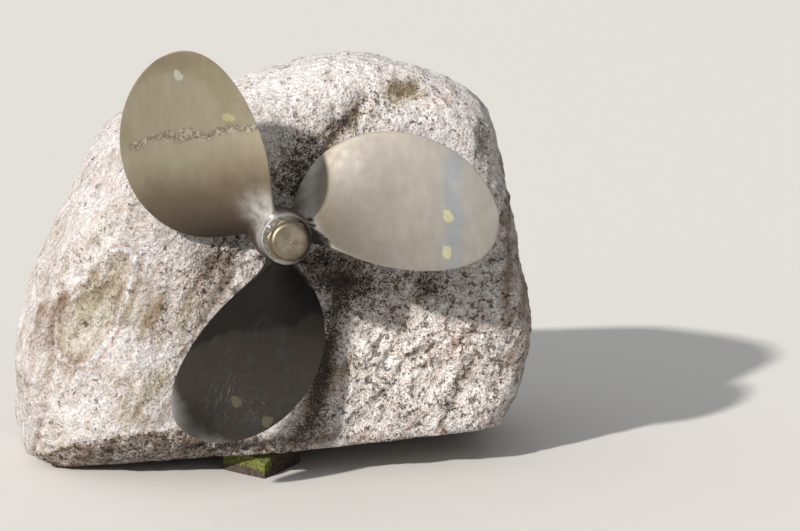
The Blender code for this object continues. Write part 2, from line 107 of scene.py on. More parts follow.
def open_material(name):
    """Start a material without nodes, and give it with its node tree."""
    made = bpy.data.materials.new(name)
    made.use_nodes = True
    made.node_tree.nodes.clear()
    return made, made.node_tree


def coat(piece, material, shader):
    """End a material with its shader and make it the piece's only one."""
    add("OutputMaterial", {"Surface": shader})
    piece.data.materials.clear()
    piece.data.materials.append(material)


camera_data = bpy.data.cameras.new("camera")
camera_data.sensor_width = SENSOR
camera_data.lens = FOCAL_PIXELS / PICTURE_PIXELS[0] * SENSOR
camera_data.clip_end = 200.0
camera = bpy.data.objects.new("camera", camera_data)
axes = np.stack((CAMERA_RIGHT, -CAMERA_DOWN, -CAMERA_FORWARD), axis=1)
camera.matrix_world = Matrix.Translation(CAMERA_AT.tolist()) @ Matrix(axes.tolist()).to_4x4()
bpy.context.scene.collection.objects.link(camera)
bpy.context.scene.camera = camera

lamp_data = bpy.data.lights.new("soft_lamp", "SUN")
lamp_data.angle = math.radians(LAMP_SPREAD_DEG)
lamp_data.energy = LAMP_STRENGTH
lamp_data.color = linear("FFFBF7")[:3]
lamp = bpy.data.objects.new("soft_lamp", lamp_data)
lamp.location = LAMP_WAY * 6.0
lamp.rotation_mode = "QUATERNION"
lamp.rotation_quaternion = LAMP_WAY.to_track_quat("Z", "Y")
bpy.context.scene.collection.objects.link(lamp)

surround = bpy.data.worlds.new("surround")
surround.use_nodes = True
tree = surround.node_tree
tree.nodes.clear()
way = add("TexCoord").outputs["Generated"]
split = add("SeparateXYZ", {"Vector": way})
side = add("MapRange", (split.outputs["X"], -1.0, 1.0))
shade = add("ValToRGB", {"Fac": side}, stops=((0.0, "E9EEF4"), (0.5, "D2D5D8"), (1.0, "8F8E8C")))
above = add("MapRange", (split.outputs["Z"], -0.2, 1.0, 0.62, 1.24))
glow = add("Background", {"Color": shade, "Strength": above})
add("OutputWorld", {"Surface": glow})
bpy.context.scene.world = surround
bpy.context.scene.view_settings.view_transform = "Standard"

floor_mesh = bpy.data.meshes.new("floor")
corners = [(x * FLOOR_HALF, y * FLOOR_HALF, 0.0) for x, y in ((-1, -1), (1, -1), (1, 1), (-1, 1))]
floor_mesh.from_pydata(corners, [], [(0, 1, 2, 3)])
floor = bpy.data.objects.new("floor", floor_mesh)
bpy.context.scene.collection.objects.link(floor)
matt, tree = open_material("matt_pale_floor")
coat(floor, matt, add("BsdfPrincipled", {"Base Color": linear("BDBAB5"), "Roughness": 0.9, "Specular IOR Level": 0.2}))

# Boulder.  One rounded block of coarse pinkish-grey granite gneiss, split and weathered: pale feldspar
# and grey quartz grains, black mica flecks, faint slanting bands.  It lies on its flat rear foot.
SHAFT_FOOT = np.array((-0.0247, -0.3305, 0.0))
SHAFT_HEIGHT = 0.5520
BOULDER_CENTRE = SHAFT_FOOT + (0.030, 0.400, 0.420)
BOULDER_SHARPNESS = 20
# Facets: way out (x, y, z) and distance.  Hollows and swells: way out, depth and angle of the spread in radians.
# Lumps: spacing, height, pattern.  Lines on the skin are given as pixels of the photograph.
FACETS = np.array((
    (0.000, -0.996, 0.087, 0.310), (-0.619, -0.781, 0.082, 0.464), (-0.967, -0.038, 0.251, 0.528),
    (-0.822, -0.134, 0.554, 0.456), (-0.310, -0.093, 0.946, 0.422), (0.121, -0.007, 0.993, 0.515),
    (0.100, -0.698, 0.710, 0.482), (0.419, -0.073, 0.905, 0.570), (0.807, -0.566, 0.166, 0.563),
    (0.974, 0.056, 0.221, 0.554), (0.931, -0.084, -0.354, 0.617), (0.486, -0.347, -0.802, 0.618),
    (-0.118, -0.783, -0.611, 0.515), (-0.959, -0.170, -0.227, 0.640), (0.202, 0.969, 0.141, 0.365),
    (-0.251, 0.902, -0.351, 0.400), (-0.759, 0.619, 0.200, 0.465), (0.759, 0.649, -0.060, 0.520),
    (-0.150, 0.620, 0.770, 0.425), (0.449, 0.558, 0.698, 0.470)))
HOLLOWS = np.array((
    (-0.08, -0.82, 0.50, 0.026, 0.20), (0.33, -0.58, 0.73, 0.022, 0.17), (-0.78, -0.60, -0.10, 0.014, 0.25),
    (0.72, -0.62, -0.42, 0.020, 0.16), (0.62, -0.45, -0.64, 0.030, 0.10), (-0.20, 0.25, 0.95, 0.020, 0.30),
    (0.35, 0.80, 0.48, 0.034, 0.24), (-0.25, 0.95, 0.05, 0.026, 0.28), (0.45, 0.82, -0.38, 0.030, 0.20),
    (0.98, 0.15, -0.05, 0.022, 0.24), (-0.93, 0.35, -0.12, 0.024, 0.22), (0.487, -0.424, 0.763, 0.010, 0.07),
    (0.516, -0.598, -0.613, 0.018, 0.05)))
SWELLS = np.array(((0.76, -0.60, -0.10, 0.060, 0.22),))
LUMPS = ((0.210, 0.0110, 27), (0.105, 0.0085, 4))
EDGE_LINE = np.array(((-0.506, 0.037), (-0.433, 0.087), (-0.321, 0.115), (-0.227, 0.128), (-0.101, 0.109),
                      (0.047, 0.063), (0.181, 0.029)))
UNDERCUT_RATIO = 0.42
UNDERCUT_ROUND = 0.004
UNDERCUT_BACK = (0.2305, 0.3505)
UNDERCUT_RIGHT = (-0.0253, 0.1247)
UNDERSIDE_HEIGHT = 0.0675
UNDERSIDE_RISE = np.array((0.0671, -0.1413))
GRID_POLE = np.array((-0.030, -0.315, 0.125))
GRID_RINGS = 236
GRID_SPOKES = 412
GRAIN_TURN = math.radians(60.0)
TONGUE = ((59, 352), (53, 320), (62, 305), (80, 294), (101, 282), (104, 262), (113, 251), (125, 250), (134, 259),
          (131, 282), (126, 303), (112, 330), (92, 362), (72, 366))
RIDGES = (((42, 300), (55, 294), (87, 272), (106, 250), (118, 238)), ((142, 288), (135, 312), (124, 336)),
          ((178, 300), (168, 330), (150, 362), (138, 392)), ((104, 402), (122, 376), (137, 350)))
CRACKS = (((20, 385), (38, 389), (53, 379), (76, 363)), ((43, 410), (38, 428), (32, 450)),
          ((92, 455), (137, 446), (168, 436)), ((366, 99), (345, 124), (322, 150)),
          ((400, 396), (425, 372), (434, 356)),
          ((441, 424), (455, 400), (470, 366), (489, 332)), ((325, 442), (352, 417), (386, 391)),
          ((300, 180), (286, 205), (282, 230)), ((505, 160), (512, 230), (508, 300)))
BOX_MARGIN = 0.0005
SKIN_DEPTH = 0.0015


def grid_faces(rows, columns):
    """Quads between neighbouring rows of a grid whose columns close on themselves."""
    row, column = np.meshgrid(np.arange(rows - 1), np.arange(columns), indexing="ij")
    follow = (column + 1) % columns
    quads = (row * columns + column, row * columns + follow, (row + 1) * columns + follow, (row + 1) * columns + column)
    return np.stack(quads, axis=-1).reshape(-1, 4)


def surface(name, points, quads, triangles=()):
    """A mesh piece from whole arrays of points, four-sided faces and three-sided faces, smooth, faces out."""
    mesh = bpy.data.meshes.new(name)
    points = np.asarray(points, float).reshape(-1, 3)
    quads = np.asarray(quads, np.int32).reshape(-1, 4)
    triangles = np.asarray(triangles, np.int32).reshape(-1, 3)
    mesh.vertices.add(len(points))
    mesh.vertices.foreach_set("co", points.astype(np.float32).ravel())
    mesh.loops.add(quads.size + triangles.size)
    mesh.loops.foreach_set("vertex_index", np.concatenate((quads.ravel(), triangles.ravel())))
    mesh.polygons.add(len(quads) + len(triangles))
    starts = np.concatenate((np.arange(len(quads)) * 4, quads.size + np.arange(len(triangles)) * 3))
    mesh.polygons.foreach_set("loop_start", starts.astype(np.int32))
    mesh.update(calc_edges=True)
    mesh.validate()
    work = bmesh.new()
    work.from_mesh(mesh)
    bmesh.ops.recalc_face_normals(work, faces=work.faces)
    work.to_mesh(mesh)
    work.free()
    mesh.shade_smooth()
    piece = bpy.data.objects.new(name, mesh)
    bpy.context.scene.collection.objects.link(piece)
    return piece


def closed_grid(name, grid, first_pole, last_pole):
    """A closed piece: rows of a grid that close on themselves, with a fan to a pole at either end."""
    rows, columns = grid.shape[:2]
    points = np.concatenate((grid.reshape(-1, 3), [first_pole, last_pole]))
    column = np.arange(columns)
    follow = (column + 1) % columns
    last = (rows - 1) * columns
    first_fan = np.stack((np.full(columns, rows * columns), follow, column), axis=-1)
    last_fan = np.stack((np.full(columns, rows * columns + 1), last + column, last + follow), axis=-1)
    return surface(name, points, grid_faces(rows, columns), np.concatenate((first_fan, last_fan)))


def lattice_noise(points, spacing, pattern):
    """Smooth noise from -1 to 1: a slope at each corner of a lattice of that spacing, blended between."""
    spot = points / spacing + pattern * 17.31
    cell = np.floor(spot).astype(np.int64)
    part = spot - cell
    ease = part ** 3 * (part * (part * 6.0 - 15.0) + 10.0)
    total = np.zeros(len(points))
    for corner in range(8):
        step = np.array((corner & 1, corner >> 1 & 1, corner >> 2))
        key = (cell + step) @ np.array((73856093, 19349663, 83492791)) + pattern * 2654435761
        key = (key ^ (key >> 13)) * 1274126177 & 0x7FFFFFFF
        slope = np.stack(((key & 1023), (key >> 10 & 1023), (key >> 20 & 1023)), axis=-1) / 511.5 - 1.0
        weight = np.prod(np.where(step, ease, 1.0 - ease), axis=1)
        total += weight * np.sum(slope * (part - step), axis=1)
    return total * 1.4


def step_between(value, low, high):
    """Smooth step from 0 at low to 1 at high."""
    part = np.clip((value - low) / (high - low), 0.0, 1.0)
    return part * part * (3.0 - 2.0 * part)


def below_edge(from_foot):
    """How far points lie below the undercut's edge line, and how fully it acts there, from 0 to 1."""
    below = np.clip(np.interp(from_foot[:, 0], EDGE_LINE[:, 0], EDGE_LINE[:, 1]) - from_foot[:, 2], 0.0, None)
    acts = 1.0 - step_between(from_foot[:, 1], *UNDERCUT_BACK)
    return below, acts * (1.0 - step_between(from_foot[:, 0], *UNDERCUT_RIGHT))


def boulder_reach(ways):
    """Distance from the boulder's centre to its skin: blended facets, hollows, swells, lumps, undercut."""
    pull = np.clip(ways @ FACETS[:, :3].T, 0.0, None) / FACETS[:, 3] / np.linalg.norm(FACETS[:, :3], axis=1)
    reach = np.sum(pull ** BOULDER_SHARPNESS, axis=1) ** (-1.0 / BOULDER_SHARPNESS)
    for forms, sign in ((HOLLOWS, -1.0), (SWELLS, 1.0)):
        aim = forms[:, :3] / np.linalg.norm(forms[:, :3], axis=1)[:, None]
        turned = np.arccos(np.clip(ways @ aim.T, -1.0, 1.0))
        reach += sign * np.exp(-(turned / forms[:, 4]) ** 2) @ forms[:, 3]
    from_foot = BOULDER_CENTRE - SHAFT_FOOT + ways * reach[:, None]
    for spacing, height, pattern in LUMPS:
        reach += height * lattice_noise(from_foot, spacing, pattern)
    below, acts = below_edge(from_foot)
    return reach - acts * UNDERCUT_RATIO * (np.sqrt(below ** 2 + UNDERCUT_ROUND ** 2) - UNDERCUT_ROUND)


def pixels_of(points):
    """Where points show in the picture, as pixel columns x, y and their distance ahead of the camera."""
    offset = points - CAMERA_AT
    ahead = offset @ CAMERA_FORWARD
    return (PICTURE_PIXELS[0] / 2.0 + FOCAL_PIXELS * (offset @ CAMERA_RIGHT) / ahead,
            PICTURE_PIXELS[1] / 2.0 + FOCAL_PIXELS * (offset @ CAMERA_DOWN) / ahead, ahead)


def spot_seen(points, pixel, reach=4.0):
    """The point of a skin that shows at a pixel: the foremost of those drawn within a few pixels of it."""
    across, down, ahead = pixels_of(points)
    away = np.hypot(across - pixel[0], down - pixel[1])
    near = away < max(reach, away.min() + 1.0)
    return points[near][np.argmin(ahead[near] + away[near] * 0.004)]


def patch(points, pixel, long_size, wide_size, turn_deg=0.0):
    """Soft spot of 1 fading to 0: an ellipse of those half sizes on the skin, turned from level in the picture."""
    offset = points - spot_seen(points, pixel)
    turn = math.radians(turn_deg)
    level = offset @ CAMERA_RIGHT
    rise = -offset @ CAMERA_DOWN
    along = level * math.cos(turn) + rise * math.sin(turn)
    aside = rise * math.cos(turn) - level * math.sin(turn)
    depth = (offset @ CAMERA_FORWARD) / max(long_size, wide_size, 0.03) / 1.6
    return np.exp(-(along / long_size) ** 2 - (aside / wide_size) ** 2 - depth ** 2)


def path_gap(points, path):
    """How far points of the front show from a path of pixels, in metres on the skin; far behind, 1."""
    across, down, ahead = pixels_of(points)
    seen = np.stack((across, down), axis=-1)
    gap = np.full(len(points), np.inf)
    for first, second in zip(np.array(path[:-1], float), np.array(path[1:], float)):
        run = second - first
        part = np.clip((seen - first) @ run / (run @ run), 0.0, 1.0)
        gap = np.minimum(gap, np.linalg.norm(seen - first - part[:, None] * run, axis=1))
    return np.where((points - BOULDER_CENTRE) @ CAMERA_FORWARD < 0.05, gap * ahead / FOCAL_PIXELS, 1.0)


def inside_loop(points, loop):
    """Whether points show inside a loop of pixels: a level line from each crosses the loop an odd number of times."""
    across, down, ahead = pixels_of(points)
    odd = np.zeros(len(points), bool)
    for (x0, y0), (x1, y1) in zip(loop, loop[1:] + loop[:1]):
        crosses = (down > y0) != (down > y1)
        odd ^= crosses & (across < x0 + (down - y0) * (x1 - x0) / ((y1 - y0) or 1.0))
    return odd


# Rings run from a pole behind the hub to the back, closer together on the front face.
pole_way = GRID_POLE / np.linalg.norm(GRID_POLE)
side_way = np.cross(pole_way, (0.0, 0.0, 1.0))
side_way /= np.linalg.norm(side_way)
over_way = np.cross(side_way, pole_way)
share = (np.arange(GRID_RINGS) + 1.0) / (GRID_RINGS + 1.0)
opening = math.pi * (0.62 * share + 0.38 * share ** 4)
spin = 2.0 * math.pi * np.arange(GRID_SPOKES) / GRID_SPOKES
ways = (np.cos(opening)[:, None, None] * pole_way + np.sin(opening)[:, None, None]
        * (np.cos(spin)[None, :, None] * side_way + np.sin(spin)[None, :, None] * over_way))
ways = np.concatenate((ways.reshape(-1, 3), [pole_way, -pole_way]))
reach = boulder_reach(ways)
skin = BOULDER_CENTRE + ways * reach[:, None]

# Grain coordinates: along the slanting bands, across them, and into the face.  Each part of the relief is a
# height in metres times noise, whose spacing in metres and pattern number come last.
grain_along = np.array((math.cos(GRAIN_TURN), 0.0, math.sin(GRAIN_TURN)))
grain_across = np.array((-math.sin(GRAIN_TURN), 0.0, math.cos(GRAIN_TURN)))
bend = 0.016 * lattice_noise(skin, 0.12, 41)
banded = np.stack((skin @ grain_along / 5.0, skin @ grain_across + bend, skin[:, 1] / 2.5), axis=-1)
left_face = step_between(-skin[:, 0], -0.02, 0.20)
belly_face = patch(skin, (430, 360), 0.26, 0.20, 0.0)
ridges = (0.0010 + 0.0016 * left_face) * (0.45 - np.abs(lattice_noise(banded, 0.030, 8)) * 2.4)
split = np.stack((skin @ (0.77, 0.0, 0.64) / 1.5, skin @ (-0.64, 0.0, 0.77), skin[:, 1] / 1.2), axis=-1)
crags = (0.0018 + 0.0048 * belly_face) * (0.5 - np.abs(lattice_noise(split, 0.048, 19)) * 2.2)
crags += (0.0020 + 0.0052 * belly_face) * (0.5 - np.abs(lattice_noise(skin, 0.027, 23)) * 2.2)
crags += (0.0008 + 0.0022 * belly_face) * (0.5 - np.abs(lattice_noise(skin, 0.015, 29)) * 2.2)
chips = 0.0046 * lattice_noise(skin, 0.046, 11) + 0.0030 * lattice_noise(skin, 0.021, 13)
pits = -0.0060 * step_between(lattice_noise(skin, 0.026, 17), 0.30, 0.62)
relief = ridges + crags + chips + pits

# Marks that show in the photograph: a pocket, slits, dents and a groove, each with its depth.
for pixel, long_size, wide_size, turn_deg, depth in (
        ((404, 94), 0.040, 0.026, 10.0, 0.006), ((452, 410), 0.011, 0.022, 70.0, 0.010),
        ((398, 408), 0.010, 0.020, 60.0, 0.010), ((101, 194), 0.014, 0.008, 20.0, 0.006),
        ((204, 268), 0.045, 0.018, 60.0, 0.009), ((343, 118), 0.060, 0.014, 50.0, 0.008),
        ((484, 140), 0.014, 0.050, 0.0, 0.010), ((48, 325), 0.060, 0.020, 70.0, 0.007)):
    relief -= depth * patch(skin, pixel, long_size, wide_size, turn_deg)

# A pale tongue-shaped fold with a raised rim, raised veins, broken cracks and a stepped corner.
fray = 0.005 * lattice_noise(skin, 0.030, 37) + 0.003 * lattice_noise(skin, 0.012, 39)
rim = path_gap(skin, TONGUE + TONGUE[:1]) + fray
fold = np.where(inside_loop(skin, TONGUE), rim, -rim)
relief += 0.0045 * np.exp(-(rim / 0.006) ** 2) - 0.003 * step_between(fold, 0.004, 0.020)
for path in RIDGES:
    relief += 0.0028 * np.exp(-((path_gap(skin, path) + fray) / 0.005) ** 2)
cracked = np.max([np.exp(-((path_gap(skin, path) + 1.2 * fray) / 0.0045) ** 2) for path in CRACKS], axis=0)
cracked *= step_between(lattice_noise(skin, 0.040, 43), -0.45, 0.15)
relief -= 0.0050 * cracked
ridged = np.exp(-(np.min([path_gap(skin, path) for path in RIDGES], axis=0) + fray) ** 2 / 0.0045 ** 2)
across_corner = (skin - spot_seen(skin, (40, 388))) @ np.array((0.30, -0.1, 0.95))
corner = patch(skin, (40, 378), 0.110, 0.075, 10.0)
relief += corner * (0.010 * step_between(across_corner, -0.004, 0.010) - 0.004)
below, undercut = below_edge(skin - SHAFT_FOOT)

# The flat foot and the slanting underside cut the skin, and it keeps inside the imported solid's box.
drop = np.where(ways[:, 2] < -1e-4, BOULDER_CENTRE[2] / np.maximum(-ways[:, 2], 1e-4), 1e3)
toward = ways @ np.array((*UNDERSIDE_RISE, -1.0))
above_slant = BOULDER_CENTRE[2] - UNDERSIDE_HEIGHT - UNDERSIDE_RISE @ (BOULDER_CENTRE - SHAFT_FOOT)[:2]
slant = np.where(toward > 1e-4, above_slant / np.maximum(toward, 1e-4), 1e3)
shaped = BOULDER_CENTRE + ways * np.minimum(np.minimum(reach + relief - SKIN_DEPTH, drop), slant)[:, None]
shaped[:, 2] = np.maximum(shaped[:, 2], 0.0)
box_low, box_high = (np.array(corner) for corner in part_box("boulder"))
shaped[:, :2] = np.clip(shaped[:, :2], box_low[:2] + BOX_MARGIN, box_high[:2] - BOX_MARGIN)
boulder = closed_grid("boulder_stone", shaped[:-2].reshape(GRID_RINGS, GRID_SPOKES, 3), shaped[-2], shaped[-1])

# Stains, tints, painted shade and painted light as spots on the skin: how dark, olive, pink, brown or pale the stone is
# there.  The dark and brown spots in the hollow between the upper and right blades, under the right blade and the hub
# and along the lower blade's right edge are painted shadow over real stains.  A spot is its pixel x and y, half its
# length and width in metres, its turn in degrees and its strength.
TINTS = {
    "dark": ((300, 168, 0.10, 0.07, 60, 1.0), (318, 262, 0.11, 0.045, -15, 1.0), (340, 282, 0.07, 0.032, -20, 1.5),
             (338, 306, 0.075, 0.026, 75, 1.4), (432, 286, 0.035, 0.035, 0, 1.0),
             (205, 270, 0.05, 0.016, 60, 0.8), (486, 138, 0.014, 0.06, 0, 0.8), (346, 120, 0.075, 0.013, 52, 1.2),
             (322, 372, 0.13, 0.024, 78, 1.6), (305, 430, 0.08, 0.03, 40, 1.4), (378, 108, 0.05, 0.03, 20, 0.4),
             (161, 325, 0.055, 0.006, 80, 0.4), (360, 282, 0.09, 0.025, 5, 0.8), (250, 446, 0.18, 0.016, 5, 1.3),
             (401, 410, 0.018, 0.018, 60, 0.9), (452, 410, 0.012, 0.022, 70, 0.9), (222, 252, 0.06, 0.02, 30, 0.7),
             (55, 340, 0.02, 0.03, 70, 0.4), (378, 392, 0.05, 0.010, 45, 0.6), (350, 420, 0.05, 0.010, 45, 0.6),
             (425, 345, 0.04, 0.010, 60, 0.5), (455, 380, 0.05, 0.010, 65, 0.5), (470, 330, 0.04, 0.012, 70, 0.5),
             (190, 330, 0.06, 0.010, 60, 0.4), (130, 350, 0.06, 0.008, 62, 0.4), (110, 455, 0.10, 0.006, 12, 0.9),
             (385, 440, 0.06, 0.012, -10, 0.7)),
    "olive": ((150, 315, 0.08, 0.030, 72, 0.8), (182, 318, 0.08, 0.035, 66, 1.0), (155, 384, 0.06, 0.025, 50, 0.9),
              (92, 300, 0.125, 0.055, 56, 1.0), (132, 312, 0.09, 0.018, 68, 0.9), (402, 92, 0.055, 0.034, 10, 1.7),
              (190, 316, 0.07, 0.032, 60, 0.9), (145, 372, 0.12, 0.020, 62, 0.9), (340, 370, 0.022, 0.05, 80, 1.0),
              (425, 292, 0.045, 0.035, 0, 0.9), (92, 240, 0.07, 0.020, 30, 0.7), (178, 385, 0.07, 0.022, 60, 0.8),
              (345, 130, 0.09, 0.025, 50, 0.8), (365, 290, 0.08, 0.022, 10, 0.8), (85, 385, 0.07, 0.018, 60, 0.7),
              (400, 345, 0.04, 0.02, 50, 0.6), (120, 215, 0.05, 0.018, 30, 0.5)),
    "pink": ((108, 182, 0.06, 0.035, 20, 0.8), (155, 290, 0.080, 0.020, 78, 0.8), (440, 430, 0.030, 0.018, 0, 1.0),
             (440, 360, 0.13, 0.10, 40, 0.6), (440, 90, 0.09, 0.06, -20, 0.7), (265, 95, 0.06, 0.03, 0, 0.5),
             (45, 392, 0.06, 0.018, 10, 0.7), (130, 235, 0.07, 0.015, 40, 0.7), (400, 425, 0.14, 0.025, 10, 0.7),
             (80, 260, 0.09, 0.012, 50, 0.6), (345, 85, 0.10, 0.03, 0, 0.5), (500, 330, 0.03, 0.12, 0, 0.5)),
    "brown": ((42, 322, 0.065, 0.026, 72, 0.8), (214, 300, 0.10, 0.045, 60, 0.55), (62, 300, 0.05, 0.02, 60, 0.7),
              (185, 350, 0.07, 0.02, 60, 0.6), (96, 415, 0.07, 0.012, 55, 0.7),
              (508, 280, 0.020, 0.30, 0, 0.9), (50, 325, 0.065, 0.026, 70, 1.0), (250, 447, 0.25, 0.018, 3, 0.9),
              (322, 385, 0.12, 0.03, 75, 1.3), (216, 262, 0.08, 0.05, 50, 0.8), (330, 275, 0.08, 0.045, 0, 0.7),
              (440, 432, 0.03, 0.02, 0, 0.8), (345, 365, 0.06, 0.018, 80, 0.8), (480, 380, 0.035, 0.09, 70, 0.6),
              (352, 108, 0.10, 0.022, 52, 0.7), (402, 86, 0.055, 0.020, 10, 1.3), (115, 300, 0.10, 0.008, 68, 0.7),
              (48, 340, 0.04, 0.02, 70, 0.6), (230, 430, 0.05, 0.03, 30, 0.6)),
    # Pale spots; those on the belly and on the knob between the right and lower blades are partly painted light.
    "pale": ((70, 425, 0.12, 0.06, 40, 1.0), (330, 75, 0.22, 0.05, 0, 1.0), (75, 230, 0.12, 0.06, 50, 0.9),
             (345, 312, 0.045, 0.035, 0, 1.0), (455, 110, 0.07, 0.08, 60, 0.8), (110, 400, 0.15, 0.03, 60, 0.8),
             (150, 225, 0.07, 0.04, 30, 0.8), (385, 330, 0.09, 0.05, 20, 0.9), (200, 300, 0.05, 0.02, 50, 0.5),
             (60, 290, 0.11, 0.012, 52, 1.0), (125, 252, 0.05, 0.010, 0, 1.0), (130, 285, 0.08, 0.010, 76, 1.0),
             (360, 118, 0.03, 0.02, 50, 0.9), (300, 110, 0.08, 0.04, 0, 0.8), (425, 375, 0.24, 0.13, 0, 0.9),
             (460, 330, 0.10, 0.08, 0, 0.8)),
}


def mark(piece, name, amount):
    """Store one number for each point of a piece's mesh, for its material to read by name."""
    layer = piece.data.attributes.new(name, "FLOAT", "POINT")
    layer.data.foreach_set("value", amount.astype(np.float32))


def patches(spots):
    """The strongest at each point of the skin of several patches, each times its own strength."""
    return np.max([strength * patch(skin, (x, y), *shape) for x, y, *shape, strength in spots], axis=0)


marks = {tint: patches(spots) for tint, spots in TINTS.items()}
# Painted shade over real brown staining: the stone under the undercut's edge and the right side, turned from the lamp,
# are browned and darkened.
at_undercut = undercut * step_between(below, 0.002, 0.010)
marks["brown"] = np.max((marks["brown"], 0.72 * step_between(skin[:, 0], 0.44, 0.54), 0.8 * at_undercut), axis=0)
marks["dark"] = np.maximum(marks["dark"], 0.45 * undercut * step_between(below, 0.001, 0.006))

# How rugged the skin is, where painted light lifts it, how far it lies inside the fold, and its other forms.
rugged = 0.40 + 0.6 * at_undercut + 0.16 * lattice_noise(skin, 0.090, 53)
for x, y, *shape, strength in ((430, 370, 0.26, 0.20, 0, 0.6), (330, 150, 0.28, 0.09, 40, 0.5),
                               (340, 280, 0.22, 0.10, 0, 0.6), (212, 270, 0.10, 0.04, 60, 0.3),
                               (180, 330, 0.14, 0.05, 60, 0.1), (500, 280, 0.06, 0.30, 0, 0.5)):
    rugged += strength * patch(skin, (x, y), *shape)
# Painted light: the belly, the shaded hollow between the upper and right blades and the top are brightened.
bleached = patches(((415, 365, 0.16, 0.13, 0, 1.0), (300, 165, 0.10, 0.09, 0, 0.9), (470, 370, 0.12, 0.14, 0, 0.8),
                    (300, 85, 0.25, 0.08, 0, 0.5)))
marks.update(rugged=np.clip(rugged, 0.0, 1.0), bleached=bleached, fold=np.where(np.abs(fold) < 0.5, fold, -0.5),
             cracked=cracked, ridged=ridged, streaked=0.15 + 0.75 * left_face,
             # Painted shade: how deep the relief's hollows are, to darken them.
             hollow=np.clip(-(ridges + crags + chips + pits) / 0.008, 0.0, 1.0))
for name, amount in marks.items():
    mark(boulder, name, amount)

# Granite gneiss, weathered and never polished: 5 mm grains in cool white, cream and pink, dark grit of 3 mm that crowds
# into stains and painted shadow, mica flecks of 2 mm, slanting streaks and a fold with a pale rim, a dull dry skin.
# A pattern's scale is its cells in a metre, so 190 is a 5 mm grain.
granite, tree = open_material("weathered_granite_gneiss")
where = add("TexCoord").outputs["Object"]
wobble = add("TexNoise", {"Vector": where, "Scale": 60.0, "Detail": 2.0}).outputs["Color"]
moved = add("VectorMath", (wobble, (0.006, 0.006, 0.006), where), operation="MULTIPLY_ADD")
sway = add("TexNoise", {"Vector": where, "Scale": 8.0, "Detail": 2.0}).outputs["Color"]
leaned = add("VectorMath", (sway, (0.05, 0.05, 0.05), where), operation="MULTIPLY_ADD")
along = add("Mapping", {"Vector": leaned, "Rotation": (0.0, -GRAIN_TURN, 0.0), "Scale": (5.5, 2.5, 1.0)},
            vector_type="TEXTURE")
grain, grit = (add("SeparateColor", {"Color": add("TexVoronoi", {"Vector": moved, "Scale": scale}).outputs["Color"]})
               for scale in (190.0, 330.0))
bands, flow, clouds, coarse, speckle, blotch, gnaw = (
    add("TexNoise", {"Vector": place, "Scale": scale, "Detail": detail, "Roughness": rough})
    for place, scale, detail, rough in ((along, 40.0, 4.0, 0.55), (along, 13.0, 2.0, 0.45), (where, 9.0, 5.0, 0.62),
                                        (where, 75.0, 6.0, 0.68), (where, 430.0, 3.0, 0.75),
                                        (leaned, 34.0, 5.0, 0.65), (leaned, 62.0, 3.0, 0.60)))
crumple = add("TexNoise", {"Vector": leaned, "Scale": 17.0, "Detail": 7.0, "Roughness": 0.58, "Offset": 1.0,
                           "Gain": 1.6}, noise_type="RIDGED_MULTIFRACTAL")
marked = {name: add("Attribute", attribute_name=name).outputs["Fac"] for name in marks}


def weighted(*parts):
    """The sum of several values, each times its weight."""
    total = 0.0
    for value, weight in parts:
        total = add("Math", (value, weight, total), operation="MULTIPLY_ADD")
    return total


def field(tint, least, most):
    """A tint's cover: its mark, broken up by bands and clouds, as a soft step from least to most."""
    spread = weighted((clouds, 0.70), (bands, 1.00), (marked[tint], 0.42))
    return add("MapRange", (spread, least, most), interpolation_type="SMOOTHSTEP")


def laid(under, cover, upper, most=1.0, how="MIX"):
    """One colour laid over another, mixed in or multiplied, as far as its cover times most says."""
    level = add("Math", (cover, most), operation="MULTIPLY")
    upper = linear(upper) if isinstance(upper, str) else upper
    return add("Mix", {0: level, 6: under, 7: upper}, data_type="RGBA", blend_type=how)


# Covers: where the skin is smooth, the streaks and the fold's layers, blotches, pits, grit and mica.
phase = add("Math", (weighted((coarse, 0.65), (flow, 13.0)),), operation="FRACT")
blotched = weighted((blotch, 1.0), (marked["rugged"], 0.16))
inward = weighted((marked["fold"], 1.0), (coarse, 0.012))
crowd = weighted((grit, 1.0), (marked["dark"], -0.34), (coarse, -0.80), (marked["rugged"], -0.03))
mica = weighted((speckle, 0.70), (coarse, 0.42), (marked["rugged"], 0.06), (marked["dark"], 0.14))
smooth, streak_cover, haze, tan, cool, layer, crowded, flecks = (
    add("MapRange", (value, least, most, 0.0, full))
    for value, least, most, full in (
        (marked["rugged"], 0.90, 0.30, 1.0), (clouds, 0.35, 0.60, marked["streaked"]), (clouds, 0.48, 0.74, 1.0),
        (blotched, 0.60, 0.82, 1.0), (blotched, 0.54, 0.40, 1.0), (inward, -0.020, 0.040, 1.0),
        (crowd, -0.60, 0.40, 1.0), (mica, 0.715, 0.755, 0.85)))
gnawed = weighted((gnaw, 1.0), (marked["rugged"], 0.12))
pit = add("MapRange", (gnawed, 0.675, 0.755), interpolation_type="SMOOTHSTEP")
grit_cover = add("MapRange", (marked["rugged"], 0.25, 0.85, 0.55))
streak = add("ValToRGB", {"Fac": phase}, stops=(
    (0.00, "FBF9F7"), (0.26, "F1ECE8"), (0.42, "DFD7CC"), (0.60, "D9D1C2"), (0.78, "E8E0D9"), (0.88, "C7B8AB"),
    (0.93, "FFFFFF"), (1.00, "FFFFFF")))
layers = add("ValToRGB", {"Fac": layer}, stops=(
    (0.00, "F4F0EC"), (0.10, "F1EBE5"), (0.28, "DFD2C8"), (0.37, "FFFFFF"), (0.45, "FFFFFF"), (0.51, "DDD2C5"),
    (0.66, "DFD7C9"), (1.00, "E6DFD3")))
gritty = add("ValToRGB", {"Fac": crowded}, stops=(
    (0.00, "3E3731"), (0.08, "50473F"), (0.14, "958A80"), (0.26, "BFB5AB"), (0.38, "DED8D1"), (0.58, "FFFFFF")))

